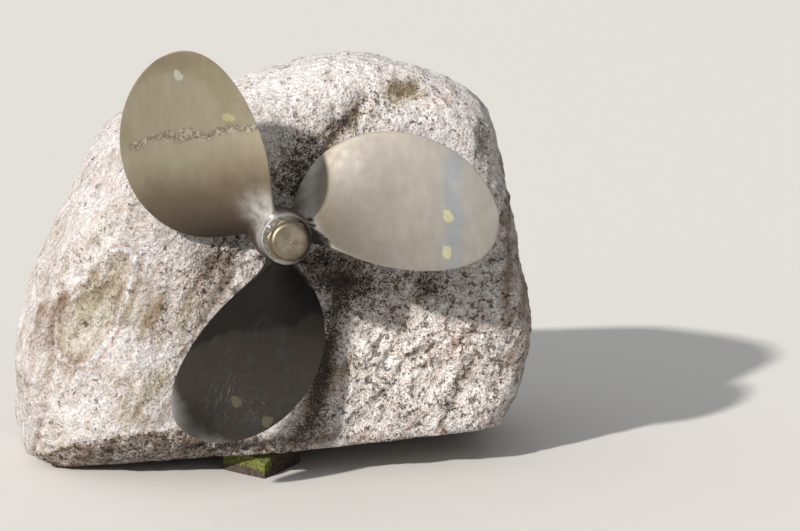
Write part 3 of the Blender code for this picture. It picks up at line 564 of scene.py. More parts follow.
# The grains' own colours, then what lies over them from the bottom up, multiplied unless it is mixed in.
current = add("ValToRGB", {"Fac": grain}, stops=(
    (0.00, "CFCFD2"), (0.16, "E8E9EC"), (0.40, "FAFBFE"), (0.70, "FCFCFD"), (0.88, "F8F1EF"), (1.00, "EEE0DA")))
for cover, upper, most, *how in (
        (field("pale", 1.00, 1.34), "FEFEFE", 0.75, "MIX"), (smooth, "D8D8D9", 1.0), (streak_cover, streak, 1.0),
        (1.0, layers, 1.0), (field("pink", 1.02, 1.42), "F6D9D0", 0.60), (field("brown", 0.96, 1.34), "AE9C8B", 0.85),
        (field("olive", 0.96, 1.38), "CFCBB0", 0.85), (haze, "E8DFDC", 0.35), (marked["ridged"], "F2EEEA", 0.40, "MIX"),
        (tan, "D0C3BA", 0.60), (cool, "EAE7EC", 0.60), (pit, "7A6C60", 0.80), (marked["cracked"], "8E7C6C", 0.75),
        # Painted shade in the relief's hollows; the dark spots are stains and painted shadow.
        (marked["hollow"], "A69B90", 0.24), (marked["dark"], "C6BCB2", 0.40), (grit_cover, gritty, 1.0),
        (flecks, "38322E", 1.0, "MIX")):
    current = laid(current, cover, upper, most, *(how or ["MULTIPLY"]))
fine = add("MapRange", (speckle, 0.3, 0.7, 1.14, 0.90))
# Painted light: up to 1.3 times brighter on the belly, in the hollow between the upper and right blades and on the top.
bleach = add("MapRange", (marked["bleached"], 0.0, 1.0, 1.00, 1.30))
tone = add("Math", (fine, bleach), operation="MULTIPLY")
toned = add("VectorMath", {0: current, "Scale": tone}, operation="SCALE")

# Heights in metres: grains, grit, crumples up to 8 mm, gnawed pits of 10 mm and the streaks' raised rims.
crumple_height = add("MapRange", (marked["rugged"], 0.0, 1.0, 0.0030, 0.0085))
rim_height = add("MapRange", (phase, 0.86, 0.97, 0.0, streak_cover))
height = weighted((grain, 0.0016), (speckle, 0.0030), (coarse, 0.0150), (crumple, crumple_height), (pit, -0.0100),
                  (rim_height, 0.0022))
strength = add("MapRange", (marked["rugged"], 0.25, 0.85, 0.65))
bump = add("Bump", {"Height": height, "Strength": strength, "Distance": 1.0})
coat(boulder, granite, add("BsdfPrincipled", {"Base Color": toned, "Roughness": 0.86, "Specular IOR Level": 0.35,
                                              "Normal": bump}))
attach(boulder, "root")
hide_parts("boulder")

# Propeller casting.  Hub and three left-handed blades cast in one piece of manganese bronze, faces
# ground and polished long ago and since tarnished: olive and brown film, stains, pale lime spots.
SHAFT_TILT = math.radians(5.0)
PROPELLER_DIAMETER = 0.914
BLADE_COUNT = 3
FIRST_BLADE = math.radians(146.2)
PITCH = 0.823
RAKE_RATIO = 0.036
SKEW = np.radians((10.1, 10.9))
HALF_CHORD_RATIO = (0.165, 0.700, -0.420, 0.150)
BLADE_ROOT_RADIUS = 0.0594
ROOT_BURIED_DEPTH = 0.0090
FILLET_FOOT_DEPTH = 0.0010
ROOT_THICKNESS = 0.030
TIP_THICKNESS = 0.0055
ROOT_EDGE = 0.0200
TIP_EDGE = 0.0036
ROOT_FILLET = 0.018
FILLET_CHORD_RATIO = (0.45, 0.15)
HUB_FRONT = -0.0850
HUB_REAR = 0.0774
HUB_FRONT_RADIUS = 0.0570
HUB_REAR_RADIUS = 0.0530
HUB_CROWN = 0.0020
HUB_CHAMFER = 0.0020
FACING_OVER = 0.0030
FACING_DEPTH = 0.0300
BORE_FRONT_RADIUS = 0.0340
TAPER_RATIO = 1.0 / 24.0
CUTTER_MARGIN = 0.0010
ADVANCE = PITCH / (2.0 * math.pi)
FACE_SHARE = 0.35
MIDDLE_THINNING = 1.3
EDGE_THINNING = 2.5
EDGE_SQUARENESS = 8


def along_shaft(local):
    """Turn points given as (right, up, towards the front along the axis) into the part's frame."""
    local = np.asarray(local, float)
    up = np.array((0.0, math.sin(SHAFT_TILT), math.cos(SHAFT_TILT)))
    outward = np.array((0.0, -math.cos(SHAFT_TILT), math.sin(SHAFT_TILT)))
    foot = SHAFT_FOOT + (0.0, 0.0, SHAFT_HEIGHT)
    return foot + local[..., :1] * (1.0, 0.0, 0.0) + local[..., 1:2] * up + local[..., 2:] * outward


def hub_radius(along):
    """Outside of the hub: a straight taper with a slight crown, sine shaped."""
    start = HUB_FRONT + HUB_CHAMFER
    part = np.clip((along - start) / (HUB_REAR - HUB_CHAMFER - start), 0.0, 1.0)
    return HUB_FRONT_RADIUS + (HUB_REAR_RADIUS - HUB_FRONT_RADIUS) * part + HUB_CROWN * np.sin(math.pi * part)


def bore_radius(along):
    """Tapered seat on the shaft, narrowing by 1 in 24 of the radius towards the nut."""
    return BORE_FRONT_RADIUS - TAPER_RATIO * (along - HUB_FRONT)


def blade_grid(number, rows=64, fillet_rows=14, columns=44):
    """One blade as rows from inside the hub to the tip, and its two poles.

    A point's angle is the blade's, plus its chord position along the helix of the stated pitch, less
    the skew; its thickness lies across the helix; a quarter round widens the rows next to the hub.
    """
    tip = PROPELLER_DIAMETER / 2.0
    length = tip - BLADE_ROOT_RADIUS
    phase = FIRST_BLADE - 2.0 * math.pi / BLADE_COUNT * number
    side = np.sin(np.linspace(-math.pi / 2.0, math.pi / 2.0, columns + 1))
    chord_at = np.concatenate((side, side[-2:0:-1]))
    facing = np.concatenate((np.ones(columns + 1), -np.ones(columns - 1)))
    edge = np.sqrt(1.0 - chord_at ** EDGE_SQUARENESS)
    body = 1.0 - chord_at ** 2
    share = np.where(facing > 0, FACE_SHARE, 1.0 - FACE_SHARE)
    c0, c1, c2, c3 = HALF_CHORD_RATIO
    turns = np.linspace(0.0, math.pi / 2.0, fillet_rows + 1)
    heights = np.concatenate(((-ROOT_BURIED_DEPTH,), ROOT_FILLET * (1.0 - np.cos(turns)) - FILLET_FOOT_DEPTH))
    root_advance = ADVANCE * chord_at * tip * c0 / math.hypot(HUB_FRONT_RADIUS, ADVANCE)
    near = hub_radius(-root_advance) + heights[:, None]
    clear = float(near[-1].max()) + FILLET_FOOT_DEPTH
    turns = np.linspace(math.asin((clear - BLADE_ROOT_RADIUS) / length), math.pi / 2.0, rows + 1)[:-1]
    far = (BLADE_ROOT_RADIUS + length * np.sin(turns))[:, None] * np.ones(len(chord_at))
    radius = np.concatenate((near, far))
    above = np.concatenate((heights, np.full(rows, ROOT_FILLET)))[:, None] + FILLET_FOOT_DEPTH
    above = np.clip(above, 0.0, ROOT_FILLET)
    fillet = ROOT_FILLET - np.sqrt(ROOT_FILLET ** 2 - (ROOT_FILLET - above) ** 2)
    x = np.maximum(radius - BLADE_ROOT_RADIUS, 0.0) / length
    half = tip * np.sqrt(1.0 - x * x) * (c0 + c1 * x + c2 * x * x + c3 * x ** 3)
    skew = SKEW[0] * x + SKEW[1] * x * x
    helix = np.arctan2(PITCH, 2.0 * math.pi * radius)
    middle = TIP_THICKNESS + (ROOT_THICKNESS - TIP_THICKNESS) * (1.0 - x) ** MIDDLE_THINNING
    rim = TIP_EDGE + (ROOT_EDGE - TIP_EDGE) * (1.0 - x) ** EDGE_THINNING
    along_chord = chord_at * (half + fillet * (FILLET_CHORD_RATIO[0] + FILLET_CHORD_RATIO[1] * chord_at))
    lead = along_chord * np.cos(helix) / radius - skew
    across = facing * ((rim * edge + (middle - rim) * body) * share + fillet * edge)
    angle = phase + lead + across * np.sin(helix) / radius
    along = RAKE_RATIO * length * x - ADVANCE * lead + across * np.cos(helix)
    grid = np.stack((radius * np.cos(angle), radius * np.sin(angle), along), axis=-1)
    inner = HUB_FRONT_RADIUS - ROOT_BURIED_DEPTH
    skew = float(SKEW.sum())
    poles = ((inner * math.cos(phase), inner * math.sin(phase), 0.0),
             (tip * math.cos(phase - skew), tip * math.sin(phase - skew), ADVANCE * skew + RAKE_RATIO * length))
    return along_shaft(grid), along_shaft(poles)


def turned(name, profile, sides, centre=(0.0, 0.0)):
    """A closed outline of (along the axis, radius) carried round the shaft's axis or a line beside it."""
    profile = np.array(profile)
    turn = 2.0 * math.pi * np.arange(sides) / sides
    ring = np.stack((np.cos(turn), np.sin(turn)), axis=-1)
    flat = np.array(centre) + profile[:, 1, None, None] * ring
    grid = np.concatenate((flat, np.broadcast_to(profile[:, 0, None, None], flat.shape[:2] + (1,))), axis=-1)
    grid = along_shaft(grid)
    if profile[0, 1] < 1e-6:
        return closed_grid(name, grid[1:-1], grid[0, 0], grid[-1, 0])
    return surface(name, np.concatenate((grid, grid[:1])).reshape(-1, 3), grid_faces(len(grid) + 1, sides))


def merged(piece, distance=0.00002):
    """Merge a piece's doubled points, drop slivers and turn its faces out."""
    work = bmesh.new()
    work.from_mesh(piece.data)
    bmesh.ops.remove_doubles(work, verts=work.verts, dist=distance)
    bmesh.ops.dissolve_degenerate(work, edges=work.edges, dist=distance)
    bmesh.ops.recalc_face_normals(work, faces=work.faces)
    work.to_mesh(piece.data)
    work.free()
    piece.data.shade_smooth()
    return piece


def combine(piece, tool, operation):
    """Join or cut one piece with another and keep the result as the first one's mesh."""
    change = piece.modifiers.new(operation.lower(), "BOOLEAN")
    change.operation = operation
    change.solver = "EXACT"
    change.object = tool
    view = bpy.context.evaluated_depsgraph_get()
    result = bpy.data.meshes.new_from_object(piece.evaluated_get(view))
    piece.modifiers.clear()
    piece.data = result
    bpy.data.objects.remove(tool, do_unlink=True)


raw = np.linspace(HUB_FRONT - FACING_OVER, HUB_REAR + FACING_OVER, 33)
hub_outline = [(a, float(hub_radius(a))) for a in raw] + [(a, bore_radius(a)) for a in (raw[-1], raw[0])]
casting = merged(turned("propeller_bronze_casting", hub_outline, 120))
blade_points = []
for number in range(BLADE_COUNT):
    grid, poles = blade_grid(number)
    blade_points.append(grid)
    combine(casting, closed_grid("blade_tool", grid, *poles), "UNION")
for end, radius, outward in ((HUB_REAR, HUB_REAR_RADIUS, 1.0), (HUB_FRONT, HUB_FRONT_RADIUS, -1.0)):
    past = HUB_CHAMFER + CUTTER_MARGIN
    inner = bore_radius(end) - FACING_OVER
    ring = [(end, inner), (end, radius - HUB_CHAMFER), (end - outward * past, radius + CUTTER_MARGIN),
            (end, radius + FACING_OVER), (end + outward * FACING_DEPTH, radius + FACING_OVER),
            (end + outward * FACING_DEPTH, inner)]
    combine(casting, merged(turned("facing_tool", ring, 64)), "DIFFERENCE")
merged(casting)
casting.data.set_sharp_from_angle(angle=math.radians(40.0))

# Manganese bronze, ground and then tarnished by years of weather: a thin brown and olive film covers about half of the
# metal, so highlights are broad.  Each blade has its own colouring: a dried tide line and olive film on the upper,
# darker towards its lower side as painted reflection; an even grey on the right, darker on its left as painted shade; a
# dark scratched film below, darkened further as painted shade, with a painted shadow across its root.
bronze, tree = open_material("tarnished_manganese_bronze")
where = add("TexCoord").outputs["Object"]
clouds, mottle, crust = (add("TexNoise", {"Vector": where, "Scale": scale, "Detail": detail, "Roughness": rough})
                         for scale, detail, rough in ((9.0, 4.0, 0.55), (38.0, 5.0, 0.60), (150.0, 4.0, 0.70)))
push = add("VectorMath", (mottle.outputs["Color"], (0.5, 0.5, 0.5)), operation="SUBTRACT")
pushed = add("VectorMath", (push, (0.030, 0.030, 0.030), where), operation="MULTIPLY_ADD")
blade_skin = np.concatenate([grid.reshape(-1, 3) for grid in blade_points])


def points_of(piece):
    """A piece's vertices as rows of x, y and z."""
    points = np.zeros(len(piece.data.vertices) * 3, np.float32)
    piece.data.vertices.foreach_get("co", points)
    return points.reshape(-1, 3)


def past_line(first, second, least, most):
    """Share of the way from least to most, in metres past the line through two spots on the blades."""
    start, end = (spot_seen(blade_skin, pixel, 8.0) for pixel in (first, second))
    way = np.cross(CAMERA_FORWARD, end - start)
    way /= np.linalg.norm(way)
    run = add("VectorMath", (pushed, way), operation="DOT_PRODUCT")
    swayed = weighted((run, 1.0), (1.0, -float(start @ way)), (clouds, 0.08))
    return add("MapRange", (swayed, least + 0.04, most + 0.04))


def near_spot(pixel, radius, soft, shape=(1.0, 1.0, 1.0), points=blade_skin, reach=8.0, full=1.0):
    """A full cover within a radius in metres of a spot of the skin, fading to 0 over a soft rim."""
    offset = add("VectorMath", (pushed, spot_seen(points, pixel, reach)), operation="SUBTRACT")
    drawn = add("VectorMath", (offset, shape), operation="MULTIPLY")
    away = add("VectorMath", (drawn,), operation="LENGTH")
    return add("MapRange", (away, radius - soft, radius + soft, full, 0.0), interpolation_type="SMOOTHSTEP")


# The upper blade's olive film, darker towards its lower side: painted reflection of dark ground.
upper_film_and_reflection = add("ValToRGB", {"Fac": past_line((130, 145), (260, 121), -0.18, 0.30)}, stops=(
    (0.00, "776C57"), (0.14, "857B64"), (0.34, "8C836D"), (0.42, "99907B"), (0.52, "8D816D"), (0.64, "706352"),
    (0.80, "55483E"), (1.00, "463E39")))
# The hub's silver grey: partly its brighter ground metal, partly painted sheen of lamp light.
silver_and_sheen = add("ValToRGB", {"Fac": mottle}, stops=((0.38, "A19F99"), (0.50, "C2C0BB"), (0.64, "D6D5D1")))
# The right blade's even grey, darker on its left where the lamp's highlight falls: painted shade.
right_film_and_shade = add("ValToRGB", {"Fac": past_line((330, 255), (330, 150), 0.0, 0.38)}, stops=(
    (0.00, "796F60"), (0.12, "7C756A"), (0.40, "938C82"), (0.60, "948E85"), (0.68, "8A8D8F"), (0.76, "959088"),
    (1.00, "928C82")))
from_end = add("VectorMath", (where, along_shaft((0.0, 0.0, HUB_REAR))), operation="DISTANCE")
hub_end = add("MapRange", (from_end, 0.0605, 0.0560))
# The lower blade's dark film: a still darker band above the line from its root to its left edge is painted shadow of
# the hub and upper blade, and the whole is darkened as painted shade.
lower_film_and_shadow = add("ValToRGB", {"Fac": past_line((205, 345), (322, 318), -0.16, 0.24)}, stops=(
    (0.00, "1F1C18"), (0.38, "211D19"), (0.41, "3D3731"), (0.70, "453F38"), (1.00, "3F3A34")))
rusty, bluish = (add("MapRange", (mottle, 0.48, most)) for most in (0.64, 0.36))
tide = add("ValToRGB", {"Fac": past_line((130, 145), (260, 121), -0.012, 0.014)}, stops=(
    (0.00, "000000"), (0.30, "FFFFFF"), (0.70, "FFFFFF"), (1.00, "000000")))
lime = add("ValToRGB", {"Fac": crust}, stops=((0.38, "564B3F"), (0.50, "7B705F"), (0.62, "B9B4A7")))

# Painted shadow of the nut: a dark patch along the hub's right side and on to the right blade's root.
cast_skin = points_of(casting)
painted_nut_shadow = 0.0
for pixel, radius in (((310, 219), 0.008), ((312, 224), 0.010), ((314, 230), 0.014), ((316, 236), 0.016),
                      ((317, 241), 0.016), ((323, 241), 0.012), ((328, 244), 0.008)):
    close = near_spot(pixel, radius, 0.005, points=cast_skin, reach=2.0)
    painted_nut_shadow = add("Math", (painted_nut_shadow, close), operation="MAXIMUM")

# Bare ground metal, then its films with painted reflection and painted shade, the silver hub with painted sheen, the
# nut's painted shadow, stains and tide line from the bottom up.
current = add("ValToRGB", {"Fac": mottle}, stops=((0.35, "AFABA4"), (0.65, "CBC8C2")))
for cover, upper, most in (
        (near_spot((205, 160), 0.255, 0.020), upper_film_and_reflection, 1.0), (near_spot((172, 122), 0.100, 0.012), "98927F", 0.45),
        (near_spot((266, 226), 0.060, 0.040), silver_and_sheen, 0.85), (near_spot((420, 195), 0.235, 0.020), right_film_and_shade, 1.0),
        # On this line a darker spot on the right blade's lit left part is painted shade, and the nut's painted shadow
        # follows.
        (near_spot((362, 172), 0.075, 0.070), "77726C", 0.80), (hub_end, "7D7870", 0.60), (painted_nut_shadow, "1D1A17", 0.94),
        # The lower blade's film with its painted shadow, then painted shade on its left tip.
        (near_spot((262, 350), 0.215, 0.020), lower_film_and_shadow, 1.0), (near_spot((196, 428), 0.060, 0.055), "201D1A", 0.85),
        (near_spot((245, 385), 0.110, 0.060, full=rusty), "4C3B31", 0.60),
        (near_spot((255, 385), 0.140, 0.050, full=bluish), "464A4C", 0.50),
        (near_spot((195, 133), 0.145, 0.010, full=tide), lime, 0.70)):
    current = laid(current, cover, upper, most)

# Six pale lime spots, two on each blade, and two fans of fine scratches on the lower one.
for pixel, radius, code, shape in (
        ((178, 76), 0.011, "A9ABA1", (1.0, 1.0, 1.1)), ((228, 119), 0.012, "ADA27B", (0.8, 0.8, 1.3)),
        ((448, 217), 0.010, "BAB58D", (1.0, 1.0, 0.65)), ((446, 251), 0.010, "BAB58D", (1.0, 1.0, 0.45)),
        ((238, 402), 0.013, "6E6A55", (1.0, 1.0, 1.0)), ((266, 421), 0.012, "6E6A55", (1.0, 1.0, 1.0))):
    current = laid(current, near_spot(pixel, radius, 0.002, shape), code, 0.85)
for turn_deg, pixel, radius in ((72.0, (222, 398), 0.045), (-30.0, (254, 412), 0.035)):
    drag = add("Mapping", {"Vector": where, "Rotation": (0.0, math.radians(-turn_deg), 0.0), "Scale": (13.0, 1.0, 1.0)},
               vector_type="TEXTURE")
    scrape = add("TexNoise", {"Vector": drag, "Scale": 330.0, "Detail": 2.0, "Roughness": 0.6})
    scored = add("MapRange", (scrape, 0.56, 0.72))
    current = laid(current, near_spot(pixel, radius, 0.030, full=scored), "7F8486", 0.62)
runs = add("Mapping", {"Vector": where, "Scale": (1.0, 1.0, 0.2)}, vector_type="POINT")
drips = add("TexNoise", {"Vector": runs, "Scale": 60.0, "Detail": 4.0})
tone = add("MapRange", (drips, 0.3, 0.7, 0.86, 0.99))
toned = add("VectorMath", {0: current, "Scale": tone}, operation="SCALE")
rough = add("MapRange", (mottle, 0.3, 0.7, 0.48, 0.60))
# Little specular within the nut's painted shadow.
specular_outside_shadow = add("MapRange", (painted_nut_shadow, 0.0, 1.0, 0.50, 0.04))
bump = add("Bump", {"Height": clouds, "Strength": 0.12, "Distance": 0.004})
coat(casting, bronze, add("BsdfPrincipled", {"Base Color": toned, "Metallic": 0.55, "Specular IOR Level": specular_outside_shadow,
                                             "Roughness": rough, "Normal": bump}))
# The booleans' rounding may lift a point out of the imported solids' box, so all are clipped to it.
casting.data.vertices.foreach_set("co", np.clip(cast_skin, cad_low, cad_high).astype(np.float32).ravel())
casting.data.update()
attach(casting, "root")
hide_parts("propeller_casting")

# Shaft stub.  Plain turned steel, set in the rock and almost hidden by the hub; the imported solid
# stays and gets the dull grey of bare steel with a thin rust film.
steel, tree = open_material("turned_mild_steel")
rust = add("TexNoise", {"Vector": add("TexCoord").outputs["Object"], "Scale": 90.0, "Detail": 6.0})
tone = add("ValToRGB", {"Fac": rust}, stops=((0.40, "7B7A78"), (0.56, "6B5D50"), (0.70, "5E4233")))
coat(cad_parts["shaft_stub"], steel,
     add("BsdfPrincipled", {"Base Color": tone, "Metallic": 0.9, "Roughness": 0.5}))

# Tab washer.  A 2 mm stainless washer punched from sheet, with two tabs bent up against the nut's
# flats so that it can't turn; the sheet's bright grey has dulled.
GAP = 0.0003
THREAD_RADIUS = 0.0235
THREAD_END = 0.1080
WASHER_THICKNESS = 0.0020
WASHER_RADIUS = 0.0515
TAB_WIDTH = 0.0300
TAB_HEIGHT = 0.0170
TAB_BEND = 0.0012
TAB_FOOT = 0.0100
TAB_TAPER = 0.25
TAB_TAPER_LENGTH = 0.004
TAB_SQUARENESS = (0.12, 0.35)
TAB_THICKNESS_RATIO = 0.99
NUT_ACROSS_FLATS = 0.0800
NUT_FLAT = math.radians(138.0)
SCREW_ANGLE = math.radians(142.0)
SCREW_CIRCLE = 0.0470
SCREW_RADIUS = 0.0025
WASHER_LOW = HUB_REAR + GAP
WASHER_HIGH = WASHER_LOW + WASHER_THICKNESS


def softened(profile, step, passes):
    """An outline walked in even steps, each point then moved towards the middle of its neighbours."""
    profile = np.array(profile, float)
    run = np.concatenate(((0.0,), np.cumsum(np.linalg.norm(np.diff(profile, axis=0), axis=1))))
    walk = np.linspace(0.0, run[-1], int(run[-1] / step) + 2)
    even = np.stack([np.interp(walk, run, profile[:, k]) for k in range(profile.shape[1])], axis=-1)
    for _ in range(passes):
        even[1:-1] = 0.5 * even[1:-1] + 0.25 * (even[:-2] + even[2:])
    return even


def tab(name, flat):
    """One tab: a strip carried along a path that lies in the washer, bends and stands against the nut."""
    near = NUT_ACROSS_FLATS / 2.0 + GAP
    middle = (WASHER_LOW + WASHER_HIGH) / 2.0
    centre = near + WASHER_THICKNESS / 2.0
    path = ((near - TAB_FOOT, middle), (centre, middle), (centre, WASHER_HIGH + TAB_HEIGHT))
    path = softened(path, TAB_BEND / 2.0, 3)
    slope = np.gradient(path, axis=0)
    slope /= np.linalg.norm(slope, axis=1)[:, None]
    normal = np.stack((-slope[:, 1], slope[:, 0]), axis=-1)
    edge = np.linspace(0.0, 2.0 * math.pi, 40, endpoint=False)
    half_sizes = TAB_WIDTH / 2.0, WASHER_THICKNESS / 2.0 * TAB_THICKNESS_RATIO
    wide, thick = (half * np.sign(turn) * np.abs(turn) ** power
                   for half, turn, power in zip(half_sizes, (np.cos(edge), np.sin(edge)), TAB_SQUARENESS))
    end = 1.0 - TAB_TAPER * np.clip(1.0 - (path[-1, 1] - path[:, 1]) / TAB_TAPER_LENGTH, 0.0, 1.0) ** 2
    radial = path[:, :1] + normal[:, :1] * thick
    along = path[:, 1:] + normal[:, 1:] * thick
    across = end[:, None] * wide
    grid = np.stack((radial * math.cos(flat) - across * math.sin(flat),
                     radial * math.sin(flat) + across * math.cos(flat), along), axis=-1)
    grid = along_shaft(grid)
    return closed_grid(name, grid, grid[0].mean(axis=0), grid[-1].mean(axis=0))


bore = THREAD_RADIUS + GAP
disc = softened(((WASHER_LOW, 0.040), (WASHER_LOW, WASHER_RADIUS), (WASHER_HIGH, WASHER_RADIUS), (WASHER_HIGH, bore),
                 (WASHER_LOW, bore), (WASHER_LOW, 0.040)), 0.0005, 1)
washer = merged(turned("tab_washer_steel", disc[:-1], 96))
shells = bmesh.new()
shells.from_mesh(washer.data)
for flat in (NUT_FLAT, NUT_FLAT + math.radians(120.0)):
    bent = tab("bent_tab", flat)
    shells.from_mesh(bent.data)
    bpy.data.objects.remove(bent, do_unlink=True)
shells.to_mesh(washer.data)
shells.free()
washer.data.shade_smooth()
washer.data.set_sharp_from_angle(angle=math.radians(50.0))

# Stainless sheet, dulled by weather, and darkened on the side that lies in the lee of the nut: painted shadow.
stainless, tree = open_material("dulled_stainless_sheet")
where = add("TexCoord").outputs["Object"]
dull = add("TexNoise", {"Vector": where, "Scale": 160.0, "Detail": 5.0})
tone = add("ValToRGB", {"Fac": dull}, stops=((0.35, "8F8C84"), (0.55, "A9A69E"), (0.75, "B9B6AF")))
washer_shadow_side = add("MapRange", (add("SeparateXYZ", {"Vector": where}), -0.030, 0.005))
rough = add("MapRange", (dull, 0.3, 0.7, 0.30, 0.45))
coat(washer, stainless, add("BsdfPrincipled", {"Base Color": laid(tone, washer_shadow_side, "3A3530"), "Metallic": 1.0,
                                               "Roughness": rough}))
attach(washer, "root")
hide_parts("tab_washer")

# Propeller nut.  A closed bronze nut: chamfered hexagon below, round crown above with a rolled
# shoulder and a slightly dished face with the lathe's centre mark; polished, now a warm film.
NUT_HEIGHT = 0.0430
NUT_HEX_HEIGHT = 0.0220
NUT_CHAMFER = math.radians(30.0)
NUT_CORNER_SHARPNESS = 90
CROWN_STEP = 0.0002
CROWN_ROUND = 0.0085
NUT_DISH = 0.0010
CENTRE_MARK_RADIUS = 0.0018
NUT_LOW = HUB_REAR + WASHER_THICKNESS + 2.0 * GAP
NUT_HIGH = NUT_LOW + NUT_HEIGHT
NUT_SPOKES = 192
corner_radius = NUT_ACROSS_FLATS / 2.0 / math.cos(math.pi / 6.0)
crown = NUT_ACROSS_FLATS / 2.0 - CROWN_STEP
wide = corner_radius + CUTTER_MARGIN
step_at = NUT_LOW + NUT_HEX_HEIGHT
hole_end = THREAD_END + CUTTER_MARGIN
outline = [(hole_end, 0.0), (hole_end, bore), (NUT_LOW, bore), (NUT_LOW, wide - 0.004), (NUT_LOW + 0.0015, wide),
           (step_at - (wide - crown) * math.tan(NUT_CHAMFER), wide), (step_at, crown)]
for turn in np.linspace(0.0, math.pi / 2.0, 8):
    outline.append((NUT_HIGH - CROWN_ROUND * (1.0 - math.sin(turn)), crown - CROWN_ROUND * (1.0 - math.cos(turn))))
face_radius = crown - CROWN_ROUND
for ease in np.linspace(0.1, 1.0, 8):
    outline.append((NUT_HIGH - NUT_DISH * 0.5 * (1.0 - math.cos(math.pi * ease)),
                    face_radius + (CENTRE_MARK_RADIUS - face_radius) * ease))
outline.append((NUT_HIGH - 2.0 * NUT_DISH, 0.0))
profile = softened(outline, 0.0006, 2)
around = 2.0 * math.pi * np.arange(NUT_SPOKES) / NUT_SPOKES
flats = NUT_FLAT + math.pi / 3.0 * np.arange(6)
pull = np.clip(np.cos(around[:, None] - flats), 0.0, None) / (NUT_ACROSS_FLATS / 2.0)
hexagon = np.sum(pull ** NUT_CORNER_SHARPNESS, axis=1) ** (-1.0 / NUT_CORNER_SHARPNESS)
radius = np.minimum(profile[:, 1:], hexagon)
grid = np.stack((radius * np.cos(around), radius * np.sin(around), profile[:, :1] + radius * 0.0), axis=-1)
grid = along_shaft(grid)
nut = merged(closed_grid("propeller_nut_bronze", grid[1:-1], grid[0, 0], grid[-1, 0]))
nut.data.set_sharp_from_angle(angle=math.radians(45.0))
foot = along_shaft((0.0, 0.0, 0.0))
axis = along_shaft((0.0, 0.0, 1.0)) - foot
mark(nut, "from_axis", np.linalg.norm(np.cross(points_of(nut) - foot, axis), axis=1) / crown)

# Bronze of the nut, once polished: a warm film, browner towards the rim and darker on its lower right side as painted
# shade.
nut_metal, tree = open_material("worn_nut_bronze")
where = add("TexCoord").outputs["Object"]
dull = add("TexNoise", {"Vector": where, "Scale": 45.0, "Detail": 5.0})
tone = add("ValToRGB", {"Fac": dull}, stops=((0.35, "8A7E6C"), (0.55, "9D9282"), (0.75, "ADA498")))
outer = add("Attribute", attribute_name="from_axis").outputs["Fac"]
browned = add("MapRange", (outer, 0.55, 0.98, 0.0, 0.62))
aslant = np.array((0.8, 0.0, -0.6))
middle = float(along_shaft((0.0, 0.0, NUT_HIGH)) @ aslant)
lower_right = add("VectorMath", (where, aslant), operation="DOT_PRODUCT")
painted_shade_lower_right = add("MapRange", (lower_right, middle + 0.010, middle + 0.038, 0.0, browned))
tone = laid(laid(tone, browned, "6A5B45"), painted_shade_lower_right, "2A231A")
rough = add("MapRange", (dull, 0.3, 0.7, 0.40, 0.52))
coat(nut, nut_metal, add("BsdfPrincipled", {"Base Color": tone, "Metallic": 1.0, "Roughness": rough}))
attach(nut, "root")
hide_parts("propeller_nut")

# Locking screw.  A small bright round-head screw that pins the washer to the hub's end face.
SCREW_HEAD_RADIUS = 0.0042
SCREW_HEAD_HEIGHT = 0.0030
SCREW_DEPTH = 0.0160
spot = (SCREW_CIRCLE * math.cos(SCREW_ANGLE), SCREW_CIRCLE * math.sin(SCREW_ANGLE))
outline = [(HUB_REAR - SCREW_DEPTH, 0.0), (HUB_REAR - SCREW_DEPTH, SCREW_RADIUS), (NUT_LOW, SCREW_RADIUS),
           (NUT_LOW, SCREW_HEAD_RADIUS)]
for lift in np.linspace(0.0, math.pi / 2.0, 9)[1:]:
    outline.append((NUT_LOW + SCREW_HEAD_HEIGHT * math.sin(lift), SCREW_HEAD_RADIUS * math.cos(lift)))
screw = turned("locking_screw_steel", outline, 40, spot)
screw.data.set_sharp_from_angle(angle=math.radians(50.0))
bright, tree = open_material("bright_zinc_plated_steel")
dull = add("TexNoise", {"Vector": add("TexCoord").outputs["Object"], "Scale": 700.0, "Detail": 3.0})
tone = add("ValToRGB", {"Fac": dull}, stops=((0.3, "B9BABB"), (0.7, "DCDDDD")))
coat(screw, bright, add("BsdfPrincipled", {"Base Color": tone, "Metallic": 1.0, "Roughness": 0.22}))
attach(screw, "root")
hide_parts("locking_screw")

# Packing block.  A rough split wedge of dark stone pushed under the boulder's raised front edge;
# green moss covers its open top and its lit front side.
BLOCK_PLAN = np.array(((-0.028, 0.069), (0.070, 0.187), (-0.022, 0.275), (-0.112, 0.158)))
BLOCK_NOSE_HEIGHT = 0.028
BLOCK_NOSE_RATIO = 0.36
BLOCK_SPOKES = 240
FOOT_RINGS, SIDE_RINGS, TOP_RINGS = 24, 14, 60
INNERMOST_RING = 0.02
MOSS_ROOM = 0.0007
MOSS_LIFT = 0.0030


def underside(plan):
    """Height of the boulder's slanting underside over points counted from the shaft's foot."""
    return UNDERSIDE_HEIGHT + plan @ UNDERSIDE_RISE


# Rings of its softened outline run from the middle of the foot up the sides to the middle of the top.
run = np.linspace(0.0, 4.0, BLOCK_SPOKES, endpoint=False)
leg = run.astype(int)
rim = BLOCK_PLAN[leg] + (run - leg)[:, None] * (BLOCK_PLAN[(leg + 1) % 4] - BLOCK_PLAN[leg])
for _ in range(3):
    rim = 0.5 * rim + 0.25 * (np.roll(rim, 1, axis=0) + np.roll(rim, -1, axis=0))
middle = BLOCK_PLAN.mean(axis=0)
shrink = np.concatenate((np.linspace(INNERMOST_RING, 1.0, FOOT_RINGS), np.ones(SIDE_RINGS),
                         np.linspace(1.0, INNERMOST_RING, TOP_RINGS)))
lift = np.concatenate((np.zeros(FOOT_RINGS), np.linspace(0.0, 1.0, SIDE_RINGS + 2)[1:-1], np.ones(TOP_RINGS)))
plan = middle + shrink[:, None, None] * (rim - middle)
nose, right, _, left = BLOCK_PLAN
